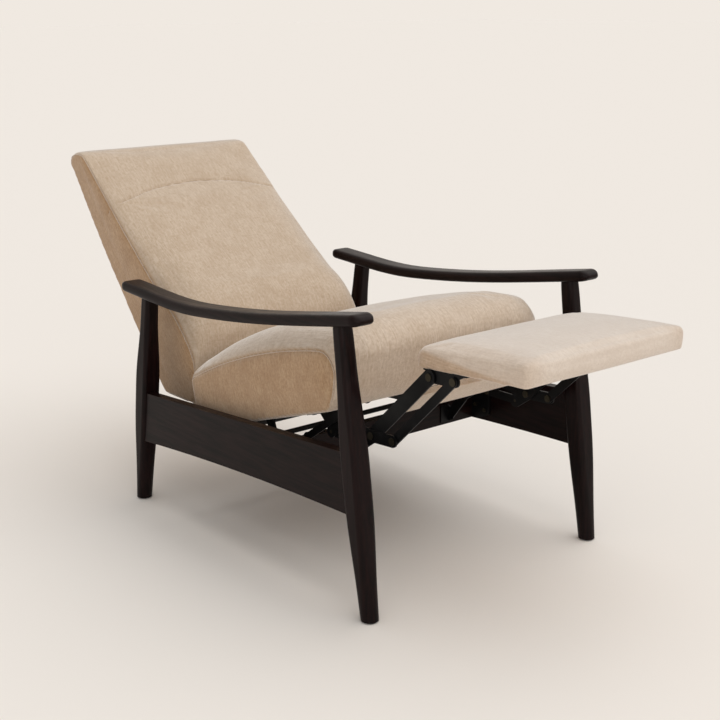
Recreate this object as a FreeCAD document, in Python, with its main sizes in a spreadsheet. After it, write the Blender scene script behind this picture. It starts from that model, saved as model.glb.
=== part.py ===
import FreeCAD, Part, Sketcher
import math
import os
from types import SimpleNamespace
from FreeCAD import Matrix, Placement, Rotation, Vector

# Recliner with an exposed wooden frame, shown reclined with its footrest out.
# X runs across the chair, -Y is the front, +Z is up and the floor is Z = 0.
# Lengths are in millimetres and angles in degrees. Places along the chair are measured
# from a datum that lies datum_setback in front of the origin.

DIMENSIONS = {
    # whole chair
    "datum_setback": 179.7,
    "leg_spread": 327.0,
    "glide_height": 3.0,
    "glide_radius": 12.0,
    # legs
    "leg_side": 46.0,
    "front_foot_y": -325.0,
    "front_leg_rake": 0.137,
    "front_leg_top": 612.0,
    "rear_foot_behind_seat": 219.45,
    "rear_leg_rake": -0.138,
    "rear_leg_top": 545.0,
    "leg_knee_height": 289.0,
    "dowel_radius": 5.0,
    "dowel_reach": 14.0,
    "dowel_length": 46.0,
    "dowel_spacing": 15.0,
    # arms
    "arm_spread": 324.0,
    "arm_width": 56.0,
    "arm_thickness": 25.0,
    "arm_edge_round": 8.5,
    "arm_corner_round": 14.0,
    # side rails
    "rail_inner_face": 321.0,
    "rail_thickness": 22.0,
    "rail_top_at_datum": 326.5,
    "rail_top_slope": -0.0735,
    "rail_bottom_front": 218.0,
    "rail_bottom_middle": 200.0,
    "rail_bottom_rear": 162.0,
    # cross pieces
    "member_front_y": 52.0,
    "member_bottom": 205.0,
    "member_height": 57.0,
    "stretcher_behind_seat": 117.45,
    "stretcher_bottom": 182.0,
    "stretcher_height": 52.0,
    "board_thickness": 22.0,
    # steel
    "plate_thickness": 4.0,
    "plate_corner_round": 6.0,
    "plate_before_member": 60.0,
    "plate_behind_guide": 38.0,
    "plate_behind_pivot": 23.0,
    "plate_above_pivot": 28.0,
    "plate_below_pivot": 18.0,
    "plate_below_rail_top": 24.0,
    "plate_front_rise": 19.0,
    "screw_head_radius": 5.0,
    "screw_head_height": 2.5,
    "screw_shank_radius": 2.5,
    "rail_screw_reach": 12.0,
    "seat_screw_head_height": 2.0,
    "seat_screw_reach": 22.0,
    "tube_wall": 2.0,
    "pivot_behind_seat": 30.45,
    "pivot_below_seat": 32.31,
    "tube_radius": 10.0,
    "guide_radius": 6.0,
    "guide_y": 112.0,
    "guide_z": 262.0,
    "running_clearance": 0.3,
    "seat_travel": 8.0,
    "hinge_behind_seat": 87.45,
    "hinge_above_seat": 94.69,
    "hinge_radius": 6.0,
    # footrest linkage, with the footrest out
    "lower_pivot_y": -125.0,
    "lower_pivot_z": 353.5,
    "second_pivot_y": -87.0,
    "second_pivot_z": 321.0,
    "elbow_y": -215.0,
    "elbow_z": 344.0,
    "outer_elbow_y": -282.0,
    "outer_elbow_z": 349.0,
    "tie_y": -182.0,
    "tie_z": 321.0,
    "drive_y": -140.5,
    "drive_z": 381.0,
    "drive_base_y": -2.5,
    "drive_base_z": 286.0,
    "pad_pivot_y": -385.0,
    "pad_pivot_z": 506.0,
    "outer_pad_pivot_y": -452.0,
    "outer_pad_pivot_z": 511.0,
    "seat_plate_face": 236.5,
    "seat_plate_thickness": 3.0,
    "link_thickness": 4.0,
    "layer_gap": 0.5,
    "lower_link_width": 26.0,
    "second_link_width": 20.0,
    "upper_link_width": 31.0,
    "outer_link_width": 20.0,
    "drive_link_width": 16.0,
    "rivet_radius": 4.0,
    "drive_rivet_radius": 3.5,
    "rivet_head_radius": 8.0,
    "rivet_head_height": 2.0,
    "drive_rivet_head_radius": 6.0,
    "tie_rivet_head_radius": 11.0,
    "drive_link_gap": 1.0,
    "drive_bracket_width": 24.0,
    "drive_flange_width": 26.0,
    "drive_flange_height": 44.0,
    "flange_thickness": 3.0,
    "open_pivot_clearance": 1.6,
    "tie_clearance": 4.2,
    # seat
    "seat_half_width": 294.0,
    "seat_angle": 18.0,
    "seat_front_y": -150.0,
    "seat_front_z": 391.0,
    "seat_depth": 520.0,
    "seat_frame_face": 272.0,
    "seat_rail_thickness": 27.0,
    "seat_frame_height": 75.0,
    "seat_front_rail_lift": 32.0,
    "seat_frame_inset": 15.0,
    "seat_plate_front": 44.0,
    "seat_plate_rear": 110.0,
    "seat_plate_screw_inset": 14.0,
    "hanger_root_width": 40.0,
    "hanger_width": 30.0,
    "guide_hanger_width": 28.0,
    "strap_width": 50.0,
    "webbing_thickness": 3.0,
    # back
    "back_half_width": 256.0,
    "back_frame_face": 254.0,
    "back_post_thickness": 13.0,
    "back_post_depth": 42.0,
    "back_behind_seat": 321.45,
    "back_above_seat": 157.69,
    "back_angle": 50.7,
    "back_frame_start": -78.0,
    "back_frame_length": 575.0,
    "back_rail_height": 60.0,
    "panel_thickness": 4.0,
    "back_skin": 3.0,
    "hinge_plate_width": 30.0,
    "hinge_plate_root": 48.0,
    "back_webbing_margin": 40.0,
    # footrest
    "footrest_half_width": 225.0,
    "footrest_rear_y": -345.0,
    "footrest_rear_z": 518.0,
    "footrest_length": 295.0,
    "footrest_slope": 4.3,
    "footrest_thickness": 44.0,
    "footrest_crown": 9.0,
    "footrest_round": 9.0,
    "footrest_board_inset": 12.0,
    "footrest_board_thickness": 12.0,
    "footrest_flange_width": 30.0,
    "footrest_flange_rear": 20.0,
    "footrest_flange_front": 34.0,
    "bridge_thickness": 14.0,
    "bridge_length": 74.0,
    "bridge_start": 96.0,
}

doc = FreeCAD.newDocument("recliner")
sheet = doc.addObject("Spreadsheet::Sheet", "Sizes")
for row, (name, number) in enumerate(DIMENSIONS.items(), start=1):
    sheet.set("A%d" % row, name)
    sheet.set("B%d" % row, str(number))
    sheet.setAlias("B%d" % row, name)
doc.recompute()
size = SimpleNamespace(**{name: float(sheet.get(name)) for name in DIMENSIONS})
nodes = {}
SIDES = (("left", 1), ("right", -1))


# Places and directions

def at(x, y, z):
    """A point of the model from a place measured on the chair's datum."""
    return Vector(x, y - size.datum_setback, z)


def seat_place(along, rise):
    """A place from the seat's own directions: along its bottom to the rear, and square to it."""
    turn = math.radians(size.seat_angle)
    y = size.seat_front_y + along * math.cos(turn) + rise * math.sin(turn)
    z = size.seat_front_z - along * math.sin(turn) + rise * math.cos(turn)
    return y, z


def seat_at(x, along, rise):
    """A point of the model from the seat's own directions."""
    return at(x, *seat_place(along, rise))


# What stands behind the seat keeps its distance from the seat's rear edge
seat_rear_y, seat_rear_z = seat_place(size.seat_depth, 0)
size.pivot_y = seat_rear_y + size.pivot_behind_seat
size.pivot_z = seat_rear_z - size.pivot_below_seat
size.hinge_y = seat_rear_y + size.hinge_behind_seat
size.hinge_z = seat_rear_z + size.hinge_above_seat
size.back_rear_y = seat_rear_y + size.back_behind_seat
size.back_rear_z = seat_rear_z + size.back_above_seat
size.rear_foot_y = seat_rear_y + size.rear_foot_behind_seat
size.stretcher_y = seat_rear_y + size.stretcher_behind_seat


def back_place(along, depth):
    """A place from the back's own directions: up its rear face, and forward from that face."""
    turn = math.radians(size.back_angle)
    y = size.back_rear_y + along * math.cos(turn) - depth * math.sin(turn)
    z = size.back_rear_z + along * math.sin(turn) + depth * math.cos(turn)
    return y, z


def back_at(x, along, depth):
    """A point of the model from the back's own directions."""
    return at(x, *back_place(along, depth))


def footrest_place(forward, rise):
    """A place from the footrest's own directions: along its bottom to the front, and up."""
    turn = math.radians(size.footrest_slope)
    y = size.footrest_rear_y - forward * math.cos(turn) - rise * math.sin(turn)
    z = size.footrest_rear_z + forward * math.sin(turn) + rise * math.cos(turn)
    return y, z


def footrest_at(x, forward, rise):
    """A point of the model from the footrest's own directions."""
    return at(x, *footrest_place(forward, rise))


def pivot(name):
    """The chair's y and z of a named pivot."""
    return getattr(size, name + "_y"), getattr(size, name + "_z")


# Objects of the document

def keep(label, obj):
    """Registers one sub-part under its own label."""
    obj.Label = label
    nodes[label] = obj
    return obj


def feature(label, shape):
    """A sub-part whose shape is worked out here from the sheet's sizes."""
    obj = doc.addObject("Part::Feature", label)
    obj.Shape = shape
    return obj


def bound_box(label, corner, turn, length, width, height):
    """A box with its sides bound to expressions, turned about X and placed by its corner."""
    box = doc.addObject("Part::Box", label)
    box.setExpression("Length", length)
    box.setExpression("Width", width)
    box.setExpression("Height", height)
    box.Placement = Placement(corner, Rotation(Vector(1, 0, 0), turn))
    return box


def bound_rod(label, start, radius, length):
    """A round bar along +X with its radius and length bound to expressions."""
    rod = doc.addObject("Part::Cylinder", label)
    rod.setExpression("Radius", radius)
    rod.setExpression("Height", length)
    rod.Placement = Placement(start, Rotation(Vector(0, 1, 0), 90))
    return rod


def minus(label, base, *tools):
    """The base with the tools cut from it, one cut after another."""
    for count, tool in enumerate(tools):
        cut = doc.addObject("Part::Cut", "%s_cut_%d" % (label, count))
        cut.Base = base
        cut.Tool = tool
        base = cut
    return base


def rod_shape(x_start, x_end, y, z, radius):
    """A cylinder along X between two places across the chair."""
    return Part.makeCylinder(radius, abs(x_end - x_start), at(min(x_start, x_end), y, z), Vector(1, 0, 0))


def plate_shape(x_start, x_end, outline, corner_round=0.0):
    """A flat plate across X from its outline of chair places, with its corners rounded."""
    points = [at(x_start, y, z) for y, z in outline]
    face = Part.Face(Part.makePolygon(points + points[:1]))
    solid = face.extrude(Vector(x_end - x_start, 0, 0))
    if corner_round > 0:
        across = [e for e in solid.Edges if abs(e.tangentAt(e.FirstParameter).x) > 0.99]
        solid = solid.makeFillet(corner_round, across)
    return solid


def bar_shape(x_start, x_end, first, second, width):
    """A flat bar with round ends between two places."""
    run = Vector(0, second[0] - first[0], second[1] - first[1])
    side = Vector(1, 0, 0).cross(run).normalize() * (width / 2)
    tip = Vector(run).normalize() * (width / 2)
    a, b = at(x_start, *first), at(x_start, *second)
    edges = [
        Part.makeLine(a + side, b + side),
        Part.Arc(b + side, b + tip, b - side).toShape(),
        Part.makeLine(b - side, a - side),
        Part.Arc(a - side, a - tip, a + side).toShape(),
    ]
    return Part.Face(Part.Wire(edges)).extrude(Vector(x_end - x_start, 0, 0))


def link_body(label, first, second, width, x_start, hole_first, hole_second):
    """A flat link drawn in a sketch between two named pivots, with a hole at each."""
    body = doc.addObject("PartDesign::Body", label)
    sketch = body.newObject("Sketcher::SketchObject", label + "_sketch")
    plane = next(f for f in body.Origin.OriginFeatures if f.Role == "XY_Plane")
    sketch.AttachmentSupport = [(plane, "")]
    sketch.MapMode = "FlatFace"
    (y1, z1), (y2, z2) = pivot(first), pivot(second)
    reach = math.hypot(y2 - y1, z2 - z1)
    half = getattr(size, width) / 2
    origin, far, up = Vector(0, 0, 0), Vector(reach, 0, 0), Vector(0, 0, 1)
    quarter = math.pi / 2
    sketch.addGeometry(Part.ArcOfCircle(Part.Circle(origin, up, half), quarter, 3 * quarter))
    sketch.addGeometry(Part.LineSegment(Vector(0, -half, 0), Vector(reach, -half, 0)))
    sketch.addGeometry(Part.ArcOfCircle(Part.Circle(far, up, half), -quarter, quarter))
    sketch.addGeometry(Part.LineSegment(Vector(reach, half, 0), Vector(0, half, 0)))
    sketch.addGeometry(Part.Circle(origin, up, half / 3))
    sketch.addGeometry(Part.Circle(far, up, half / 3))
    for values in (
        ("Coincident", 0, 3, -1, 1), ("Tangent", 0, 2, 1, 1), ("Tangent", 1, 2, 2, 1),
        ("Tangent", 2, 2, 3, 1), ("Tangent", 3, 2, 0, 1), ("PointOnObject", 2, 3, -1),
        ("Coincident", 4, 3, 0, 3), ("Coincident", 5, 3, 2, 3),
    ):
        sketch.addConstraint(Sketcher.Constraint(*values))
    length = sketch.addConstraint(Sketcher.Constraint("DistanceX", 0, 3, 2, 3, reach))
    radius = sketch.addConstraint(Sketcher.Constraint("Radius", 0, half))
    bore_first = sketch.addConstraint(Sketcher.Constraint("Radius", 4, half / 3))
    bore_second = sketch.addConstraint(Sketcher.Constraint("Radius", 5, half / 3))
    gap = "sqrt((Sizes.{0}_y - Sizes.{1}_y)^2 + (Sizes.{0}_z - Sizes.{1}_z)^2)".format(first, second)
    sketch.setExpression("Constraints[%d]" % length, gap)
    sketch.setExpression("Constraints[%d]" % radius, "Sizes.%s / 2" % width)
    sketch.setExpression("Constraints[%d]" % bore_first, hole_first)
    sketch.setExpression("Constraints[%d]" % bore_second, hole_second)
    pad = body.newObject("PartDesign::Pad", label + "_pad")
    pad.Profile = sketch
    pad.setExpression("Length", "Sizes.link_thickness")
    along = Vector(0, y2 - y1, z2 - z1).normalize()
    across = Vector(1, 0, 0)
    side = across.cross(along)
    turn = Matrix(along.x, side.x, across.x, 0, along.y, side.y, across.y, 0, along.z, side.z, across.z, 0)
    body.Placement = Placement(at(x_start, y1, z1), Rotation(turn))
    return body


# Wooden frame

# Height, side as a share of the widest side, and corner radius as a share of the side
LEG_SECTIONS = (
    (3, 0.80, 0.48), (34, 0.84, 0.47), (106, 0.89, 0.36), (180, 0.975, 0.27), (289, 1.0, 0.20),
    (369, 0.978, 0.20), (449, 0.88, 0.28), (533, 0.785, 0.31), (618, 0.69, 0.35),
)
# The arm's underside: share of the way from the front foot to the rear one, and the drop
# below a straight line between the tops of the legs
ARM_DROPS = (
    (0.0191, 2.7), (0.1249, 11.6), (0.2745, 24.6), (0.4364, 35.8), (0.6119, 42.0), (0.7064, 42.2), (0.82, 35.1),
    (0.9573, 19.9), (1.0304, 12.0),
)


def arm_places():
    """Places along the arm's underside, from the front."""
    run, fall = size.rear_foot_y - size.front_foot_y, size.rear_leg_top - size.front_leg_top
    return [(size.front_foot_y + share * run, size.front_leg_top + share * fall - drop) for share, drop in ARM_DROPS]


def arm_underside(y):
    """Height of the arm's underside at a place along the chair."""
    places = arm_places()
    for (y1, z1), (y2, z2) in zip(places, places[1:]):
        if y <= y2:
            break
    return z1 + (z2 - z1) * (y - y1) / (y2 - y1)


def rounded_square(x, y, z, side, corner):
    """A horizontal rounded square as a wire of lines and quarter arcs."""
    half, flat, bend = side / 2, side / 2 - corner, corner * math.sqrt(0.5)
    edges = []
    for quarter in range(4):
        turn = Rotation(Vector(0, 0, 1), 90 * quarter)
        start, end = Vector(half, -flat, 0), Vector(half, flat, 0)
        middle = Vector(flat + bend, flat + bend, 0)
        after = Vector(flat, half, 0)
        a, b, m, c = (turn.multVec(v) + at(x, y, z) for v in (start, end, middle, after))
        edges += [Part.makeLine(a, b), Part.Arc(b, m, c).toShape()]
    return Part.Wire(edges)


def leg_shape(x, foot_y, rake, top):
    """A tapered leg that leans along the chair, as a loft through rounded squares."""
    knee, stretch = size.leg_knee_height, (top - size.leg_knee_height) / (LEG_SECTIONS[-1][0] - size.leg_knee_height)
    wires = []
    for height, share, round_share in LEG_SECTIONS:
        z = height if height <= knee else knee + (height - knee) * stretch
        z = max(z, size.glide_height)
        side = share * size.leg_side
        wires.append(rounded_square(x, foot_y + rake * z, z, side, round_share * side))
    return Part.makeLoft(wires, True)


def arm_shape(x):
    """An armrest: its side outline extruded across, then its corners and long edges rounded."""
    under = [Vector(0, y, z) for y, z in arm_places()]
    over = []
    for index, point in enumerate(under):
        run = under[min(index + 1, len(under) - 1)] - under[max(index - 1, 0)]
        rise = Vector(0, -run.z, run.y).normalize() * size.arm_thickness
        over.append(point + rise)
    start = x - size.arm_width / 2
    low, high = Part.BSplineCurve(), Part.BSplineCurve()
    low.interpolate([at(start, p.y, p.z) for p in under])
    high.interpolate([at(start, p.y, p.z) for p in reversed(over)])
    edges = [
        low.toShape(),
        Part.makeLine(low.EndPoint, high.StartPoint),
        high.toShape(),
        Part.makeLine(high.EndPoint, low.StartPoint),
    ]
    bar = Part.Face(Part.Wire(edges)).extrude(Vector(size.arm_width, 0, 0))
    ends = [e for e in bar.Edges if abs(e.Length - size.arm_thickness) < size.arm_thickness * 0.02]
    bar = bar.makeFillet(size.arm_corner_round, ends)
    faces = sorted(bar.Faces, key=lambda f: f.Area)
    upper_lower = [f for f in faces[-4:] if abs(f.normalAt(0.5, 0.5).x) < 0.1]
    rims = [e for f in upper_lower for e in f.Edges]
    return bar.makeFillet(size.arm_edge_round, rims)


# Share of the knee's height at which the rail meets the rear leg, and how far the lowest
# point of its arch lies in front of its middle
RAIL_REAR_SHARE = 0.8
RAIL_ARCH_FORWARD = 17


def rail_shape(sign):
    """A side rail with a straight top and an arched bottom, run into both legs."""
    front = size.front_foot_y + size.front_leg_rake * size.leg_knee_height
    rear = size.rear_foot_y + size.rear_leg_rake * size.leg_knee_height * RAIL_REAR_SHARE
    middle = (front + rear) / 2 - RAIL_ARCH_FORWARD
    x = sign * size.rail_inner_face

    def top(y):
        return size.rail_top_at_datum + size.rail_top_slope * y

    corners = [at(x, front, size.rail_bottom_front), at(x, middle, size.rail_bottom_middle),
               at(x, rear, size.rail_bottom_rear), at(x, rear, top(rear)), at(x, front, top(front))]
    edges = [
        Part.Arc(corners[0], corners[1], corners[2]).toShape(),
        Part.makeLine(corners[2], corners[3]),
        Part.makeLine(corners[3], corners[4]),
        Part.makeLine(corners[4], corners[0]),
    ]
    return Part.Face(Part.Wire(edges)).extrude(Vector(sign * size.rail_thickness, 0, 0))


# Along and up from the base plate's stations: the corners of its lower edge from its rear
# foot and twice from its front, and its screws from the front, the middle and the pivot
BASE_PLATE_EDGE = ((-68, 3), (68, 1), (38, 3))
BASE_PLATE_SCREWS = ((16, 28), (48, 36), (40, -40.5), (-98, 32), (-46, 7))


def shifted(places, offsets):
    """Each place moved by its own offset along and up."""
    return tuple((y + along, z + up) for (y, z), (along, up) in zip(places, offsets))


def base_plate_places():
    """The base plate's outline, and the places of its screws."""
    front, middle = size.member_front_y - size.plate_before_member, size.guide_y + size.plate_behind_guide
    rear, low = size.pivot_y + size.plate_behind_pivot, size.pivot_z - size.plate_below_pivot
    upper, member = size.rail_top_at_datum - size.plate_below_rail_top, size.member_bottom
    at_front, at_pivot = (front, member), (rear, size.pivot_z)
    outline = ((front, member + size.plate_front_rise), (front, upper), (middle, upper),
               (rear, size.pivot_z + size.plate_above_pivot), (rear, low))
    outline += shifted(((rear, low), at_front, at_front), BASE_PLATE_EDGE)
    screws = shifted((at_front, at_front, (middle, upper), at_pivot, at_pivot), BASE_PLATE_SCREWS)
    return outline, screws


def screw_shape(x, sign, y, z):
    """A round-headed screw whose head stands on the base plate and whose shank enters the rail."""
    plate_face = sign * (size.rail_inner_face - size.plate_thickness)
    head = rod_shape(plate_face - sign * size.screw_head_height, plate_face, y, z, size.screw_head_radius)
    shank = rod_shape(plate_face, x + sign * size.rail_screw_reach, y, z, size.screw_shank_radius)
    return head.fuse(shank).removeSplitter()


def arc_slot_shape(x_start, x_end, centre, place, sweep, half_width):
    """A slot that follows a turn about a centre, from a place through a sweep of degrees."""
    reach = math.hypot(place[0] - centre[0], place[1] - centre[1])
    first = math.atan2(place[1] - centre[1], place[0] - centre[0])
    last = first + math.radians(sweep)

    def spot(radius, angle):
        return at(x_start, centre[0] + radius * math.cos(angle), centre[1] + radius * math.sin(angle))

    middle, over = (first + last) / 2, half_width / reach
    inner, outer = reach - half_width, reach + half_width
    edges = [
        Part.Arc(spot(outer, first), spot(outer, middle), spot(outer, last)).toShape(),
        Part.Arc(spot(outer, last), spot(reach, last + over), spot(inner, last)).toShape(),
        Part.Arc(spot(inner, last), spot(inner, middle), spot(inner, first)).toShape(),
        Part.Arc(spot(inner, first), spot(reach, first - over), spot(outer, first)).toShape(),
    ]
    return Part.Face(Part.Wire(edges)).extrude(Vector(x_end - x_start, 0, 0))


def make_frame():
    """Legs, arms, rails, cross pieces, dowels, glides and the steel base plates."""
    screws, dowels, glides = [], [], []
    outline, screw_places = base_plate_places()
    legs = (("front", size.front_foot_y, size.front_leg_rake, size.front_leg_top),
            ("rear", size.rear_foot_y, size.rear_leg_rake, size.rear_leg_top))
    for side, sign in SIDES:
        for _, foot_y, rake, top in legs:
            x = sign * size.leg_spread
            meeting = arm_underside(foot_y + rake * top)
            for offset in (-0.5, 0.5):
                start = at(x + offset * size.dowel_spacing, foot_y + rake * meeting,
                           meeting + size.dowel_reach - size.dowel_length)
                dowels.append(Part.makeCylinder(size.dowel_radius, size.dowel_length, start))
            glides.append(Part.makeCylinder(size.glide_radius, size.glide_height, at(x, foot_y, 0)))
        for y, z in screw_places:
            screws.append(screw_shape(sign * size.rail_inner_face, sign, y, z))
    dowel_group = keep("leg_dowels", feature("leg_dowels", Part.makeCompound(dowels)))
    keep("foot_glides", feature("foot_glides", Part.makeCompound(glides)))
    screw_group = keep("base_plate_screws", feature("base_plate_screws", Part.makeCompound(screws)))

    inner = size.rail_inner_face
    plate_inner = inner - size.plate_thickness
    tube = bound_rod("pivot_tube_bar", at(-inner, *pivot("pivot")), "Sizes.tube_radius", "2 * Sizes.rail_inner_face")
    bore = bound_rod("pivot_tube_bore", at(-inner, *pivot("pivot")), "Sizes.tube_radius - Sizes.tube_wall",
                     "2 * Sizes.rail_inner_face")
    keep("rear_pivot_tube", minus("pivot_tube", tube, bore))

    for side, sign in SIDES:
        x = sign * size.leg_spread
        arm = feature(side + "_arm_blank", arm_shape(sign * size.arm_spread))
        blanks = {}
        for end, foot_y, rake, top in legs:
            blank = feature("%s_%s_leg_blank" % (side, end), leg_shape(x, foot_y, rake, top))
            blanks[end] = blank
            keep("%s_%s_leg" % (side, end), minus("%s_%s_leg" % (side, end), blank, arm, dowel_group))
        keep(side + "_arm", minus(side + "_arm", arm, dowel_group))
        rail = feature(side + "_rail_blank", rail_shape(sign))
        keep(side + "_side_rail", minus(side + "_rail", rail, blanks["front"], blanks["rear"], screw_group))

        plate = plate_shape(sign * plate_inner, sign * inner, outline, size.plate_corner_round)
        slot = arc_slot_shape(sign * (plate_inner - 1), sign * (inner + 1), pivot("pivot"), pivot("guide"),
                              size.seat_travel, size.guide_radius + size.running_clearance)
        plate = plate.cut(slot).cut(rod_shape(-inner, inner, *pivot("pivot"), size.tube_radius))
        plate_object = feature(side + "_base_plate_blank", plate)
        keep(side + "_base_plate", minus(side + "_base_plate", plate_object, screw_group))

    keep("cross_member", bound_box(
        "cross_member", at(-plate_inner, size.member_front_y, size.member_bottom), 0,
        "2 * (Sizes.rail_inner_face - Sizes.plate_thickness)", "Sizes.board_thickness", "Sizes.member_height"))
    keep("rear_stretcher", bound_box(
        "rear_stretcher", at(-inner, size.stretcher_y, size.stretcher_bottom), 0,
        "2 * Sizes.rail_inner_face", "Sizes.board_thickness", "Sizes.stretcher_height"))


# Steel of the footrest linkage

def layers():
    """Faces of the plates that lie side by side, counted from the seat plate inwards."""
    plate_out = size.seat_plate_face
    plate_in = plate_out - size.seat_plate_thickness
    lower_out = plate_in - size.layer_gap
    lower_in = lower_out - size.link_thickness
    upper_out = lower_in - size.layer_gap
    upper_in = upper_out - size.link_thickness
    pad_out = upper_in - size.layer_gap
    pad_in = pad_out - size.link_thickness
    drive_in = plate_out + size.drive_link_gap
    return SimpleNamespace(
        plate_out=plate_out, plate_in=plate_in, lower_out=lower_out, lower_in=lower_in, upper_out=upper_out,
        upper_in=upper_in, pad_out=pad_out, pad_in=pad_in, drive_in=drive_in,
        drive_out=drive_in + size.link_thickness)


# Play under a rivet's head, and round a rivet or pin that something turns on
HEAD_GAP = 0.2
RUNNING_FIT = 0.08


def rivet_shape(sign, name, radius, inner, outer, inner_head=0.0, outer_head=0.0):
    """A rivet across X at a named pivot, with a flat head of its own radius at either end."""
    y, z = pivot(name)
    start = inner - (HEAD_GAP if inner_head else 0)
    end = outer + (HEAD_GAP if outer_head else 0)
    shape = rod_shape(sign * start, sign * end, y, z, radius)
    if inner_head:
        shape = shape.fuse(rod_shape(sign * (start - size.rivet_head_height), sign * start, y, z, inner_head))
    if outer_head:
        shape = shape.fuse(rod_shape(sign * end, sign * (end + size.rivet_head_height), y, z, outer_head))
    return shape.removeSplitter()


def bored(shape, sign, inner, outer, *bores):
    """A plate with round holes at named pivots."""
    for name, radius in bores:
        shape = shape.cut(rod_shape(sign * (inner - 1), sign * (outer + 1), *pivot(name), radius))
    return shape


# Along and up from the foot of the drive bracket's arm to the front corners of its web
DRIVE_WEB_CORNERS = ((-8, -12), (-2, 14))


def make_linkage():
    """Links, drive links, their brackets and rivets, and the panel between the upper links."""
    face = layers()
    rivet, small, head = size.rivet_radius, size.drive_rivet_radius, size.rivet_head_radius
    rivets = {"seat": [], "lower": [], "upper": [], "footrest": []}
    for side, sign in SIDES:
        lower = bar_shape(sign * face.lower_in, sign * face.lower_out, pivot("lower_pivot"), pivot("elbow"),
                          size.lower_link_width)
        lower = lower.fuse(bar_shape(sign * face.lower_in, sign * face.lower_out, pivot("elbow"),
                                     pivot("outer_elbow"), size.lower_link_width))
        lower = lower.fuse(bar_shape(sign * face.lower_in, sign * face.lower_out, pivot("lower_pivot"),
                                     pivot("drive"), size.drive_link_width)).removeSplitter()
        lower = bored(lower, sign, face.lower_in, face.lower_out, ("lower_pivot", rivet + RUNNING_FIT),
                      ("elbow", rivet), ("outer_elbow", rivet), ("drive", small))
        keep(side + "_lower_link", feature(side + "_lower_link", lower))

        upper = bar_shape(sign * face.upper_in, sign * face.upper_out, pivot("elbow"), pivot("pad_pivot"),
                          size.upper_link_width)
        upper = upper.fuse(bar_shape(sign * face.upper_in, sign * face.upper_out, pivot("elbow"), pivot("tie"),
                                     size.upper_link_width)).removeSplitter()
        upper = bored(upper, sign, face.upper_in, face.upper_out, ("elbow", rivet + RUNNING_FIT),
                      ("pad_pivot", rivet + RUNNING_FIT), ("tie", small))
        keep(side + "_upper_link", feature(side + "_upper_link", upper))

        start = min(sign * face.lower_in, sign * face.lower_out)
        keep(side + "_second_lower_link", link_body(
            side + "_second_lower_link", "second_pivot", "tie", "second_link_width", start,
            "Sizes.rivet_radius + %g" % RUNNING_FIT, "Sizes.drive_rivet_radius + Sizes.tie_clearance"))
        start = min(sign * face.upper_in, sign * face.upper_out)
        keep(side + "_second_upper_link", link_body(
            side + "_second_upper_link", "outer_elbow", "outer_pad_pivot", "outer_link_width", start,
            "Sizes.rivet_radius + %g" % RUNNING_FIT, "Sizes.rivet_radius + Sizes.open_pivot_clearance"))
        start = min(sign * face.drive_in, sign * face.drive_out)
        keep(side + "_drive_link", link_body(
            side + "_drive_link", "drive", "drive_base", "drive_link_width", start,
            "Sizes.drive_rivet_radius + Sizes.open_pivot_clearance", "Sizes.rivet_radius + %g" % RUNNING_FIT))

        for name in ("lower_pivot", "second_pivot"):
            rivets["seat"].append(rivet_shape(sign, name, rivet, face.lower_in, face.plate_out, inner_head=head))
        for name in ("elbow", "outer_elbow"):
            rivets["lower"].append(rivet_shape(sign, name, rivet, face.upper_in, face.lower_out, head, head))
        rivets["lower"].append(rivet_shape(sign, "drive", small, face.lower_in, face.drive_out,
                                           outer_head=size.drive_rivet_head_radius))
        rivets["upper"].append(rivet_shape(sign, "tie", small, face.upper_in, face.lower_out,
                                           outer_head=size.tie_rivet_head_radius))
        for name in ("pad_pivot", "outer_pad_pivot"):
            rivets["footrest"].append(rivet_shape(sign, name, rivet, face.pad_in, face.upper_out, head, head))

        half = size.drive_flange_height / 2
        foot_y = size.member_front_y - size.drive_bracket_width / 2
        foot_z = size.member_bottom + size.member_height / 2
        low, high = shifted(((foot_y, foot_z), (foot_y, foot_z)), DRIVE_WEB_CORNERS)
        bracket = bar_shape(sign * face.plate_in, sign * face.plate_out, pivot("drive_base"), (foot_y, foot_z),
                            size.drive_bracket_width)
        web = plate_shape(sign * face.plate_in, sign * face.plate_out, (
            low, (size.member_front_y, foot_z - half), (size.member_front_y, foot_z + half), high))
        width, thickness = size.drive_flange_width, size.flange_thickness
        flange = Part.makeBox(width, thickness, 2 * half, at(0, size.member_front_y - thickness, foot_z - half))
        flange.translate(Vector(sign * face.plate_out - (width if sign > 0 else 0), 0, 0))
        pin = rivet_shape(sign, "drive_base", rivet, face.plate_in, face.drive_out,
                          outer_head=size.drive_rivet_head_radius)
        bracket = bracket.fuse([web, flange, pin]).removeSplitter()
        keep(side + "_drive_bracket", feature(side + "_drive_bracket", bracket))

    labels = {"seat": "seat_plate_rivets", "lower": "lower_link_rivets", "upper": "tie_rivets",
              "footrest": "footrest_rivets"}
    for group, shapes in rivets.items():
        keep(labels[group], feature(labels[group], Part.makeCompound(shapes)))

    y1, z1 = pivot("elbow")
    y2, z2 = pivot("pad_pivot")
    reach = math.hypot(y2 - y1, z2 - z1)
    along = Vector(0, (y2 - y1) / reach, (z2 - z1) / reach)
    lean = math.degrees(math.atan2(z2 - z1, y2 - y1))
    corner = at(-face.upper_in, y1, z1) + along * size.bridge_start
    bridge = bound_box("bridge_panel_block", corner, lean,
                       "2 * (Sizes.seat_plate_face - Sizes.seat_plate_thickness - 2 * Sizes.layer_gap"
                       " - 2 * Sizes.link_thickness)", "Sizes.bridge_length", "Sizes.bridge_thickness")
    down = Vector(0, -along.z, along.y) * (size.bridge_thickness / 2)
    bridge.Placement.Base = corner - down
    keep("bridge_panel", bridge)


# Cushions

def blend(first, second, share):
    """Each place of one outline moved a share of the way to the same place of another."""
    return {key: tuple(a + (b - a) * share for a, b in zip(first[key], second[key])) for key in first}


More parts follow.
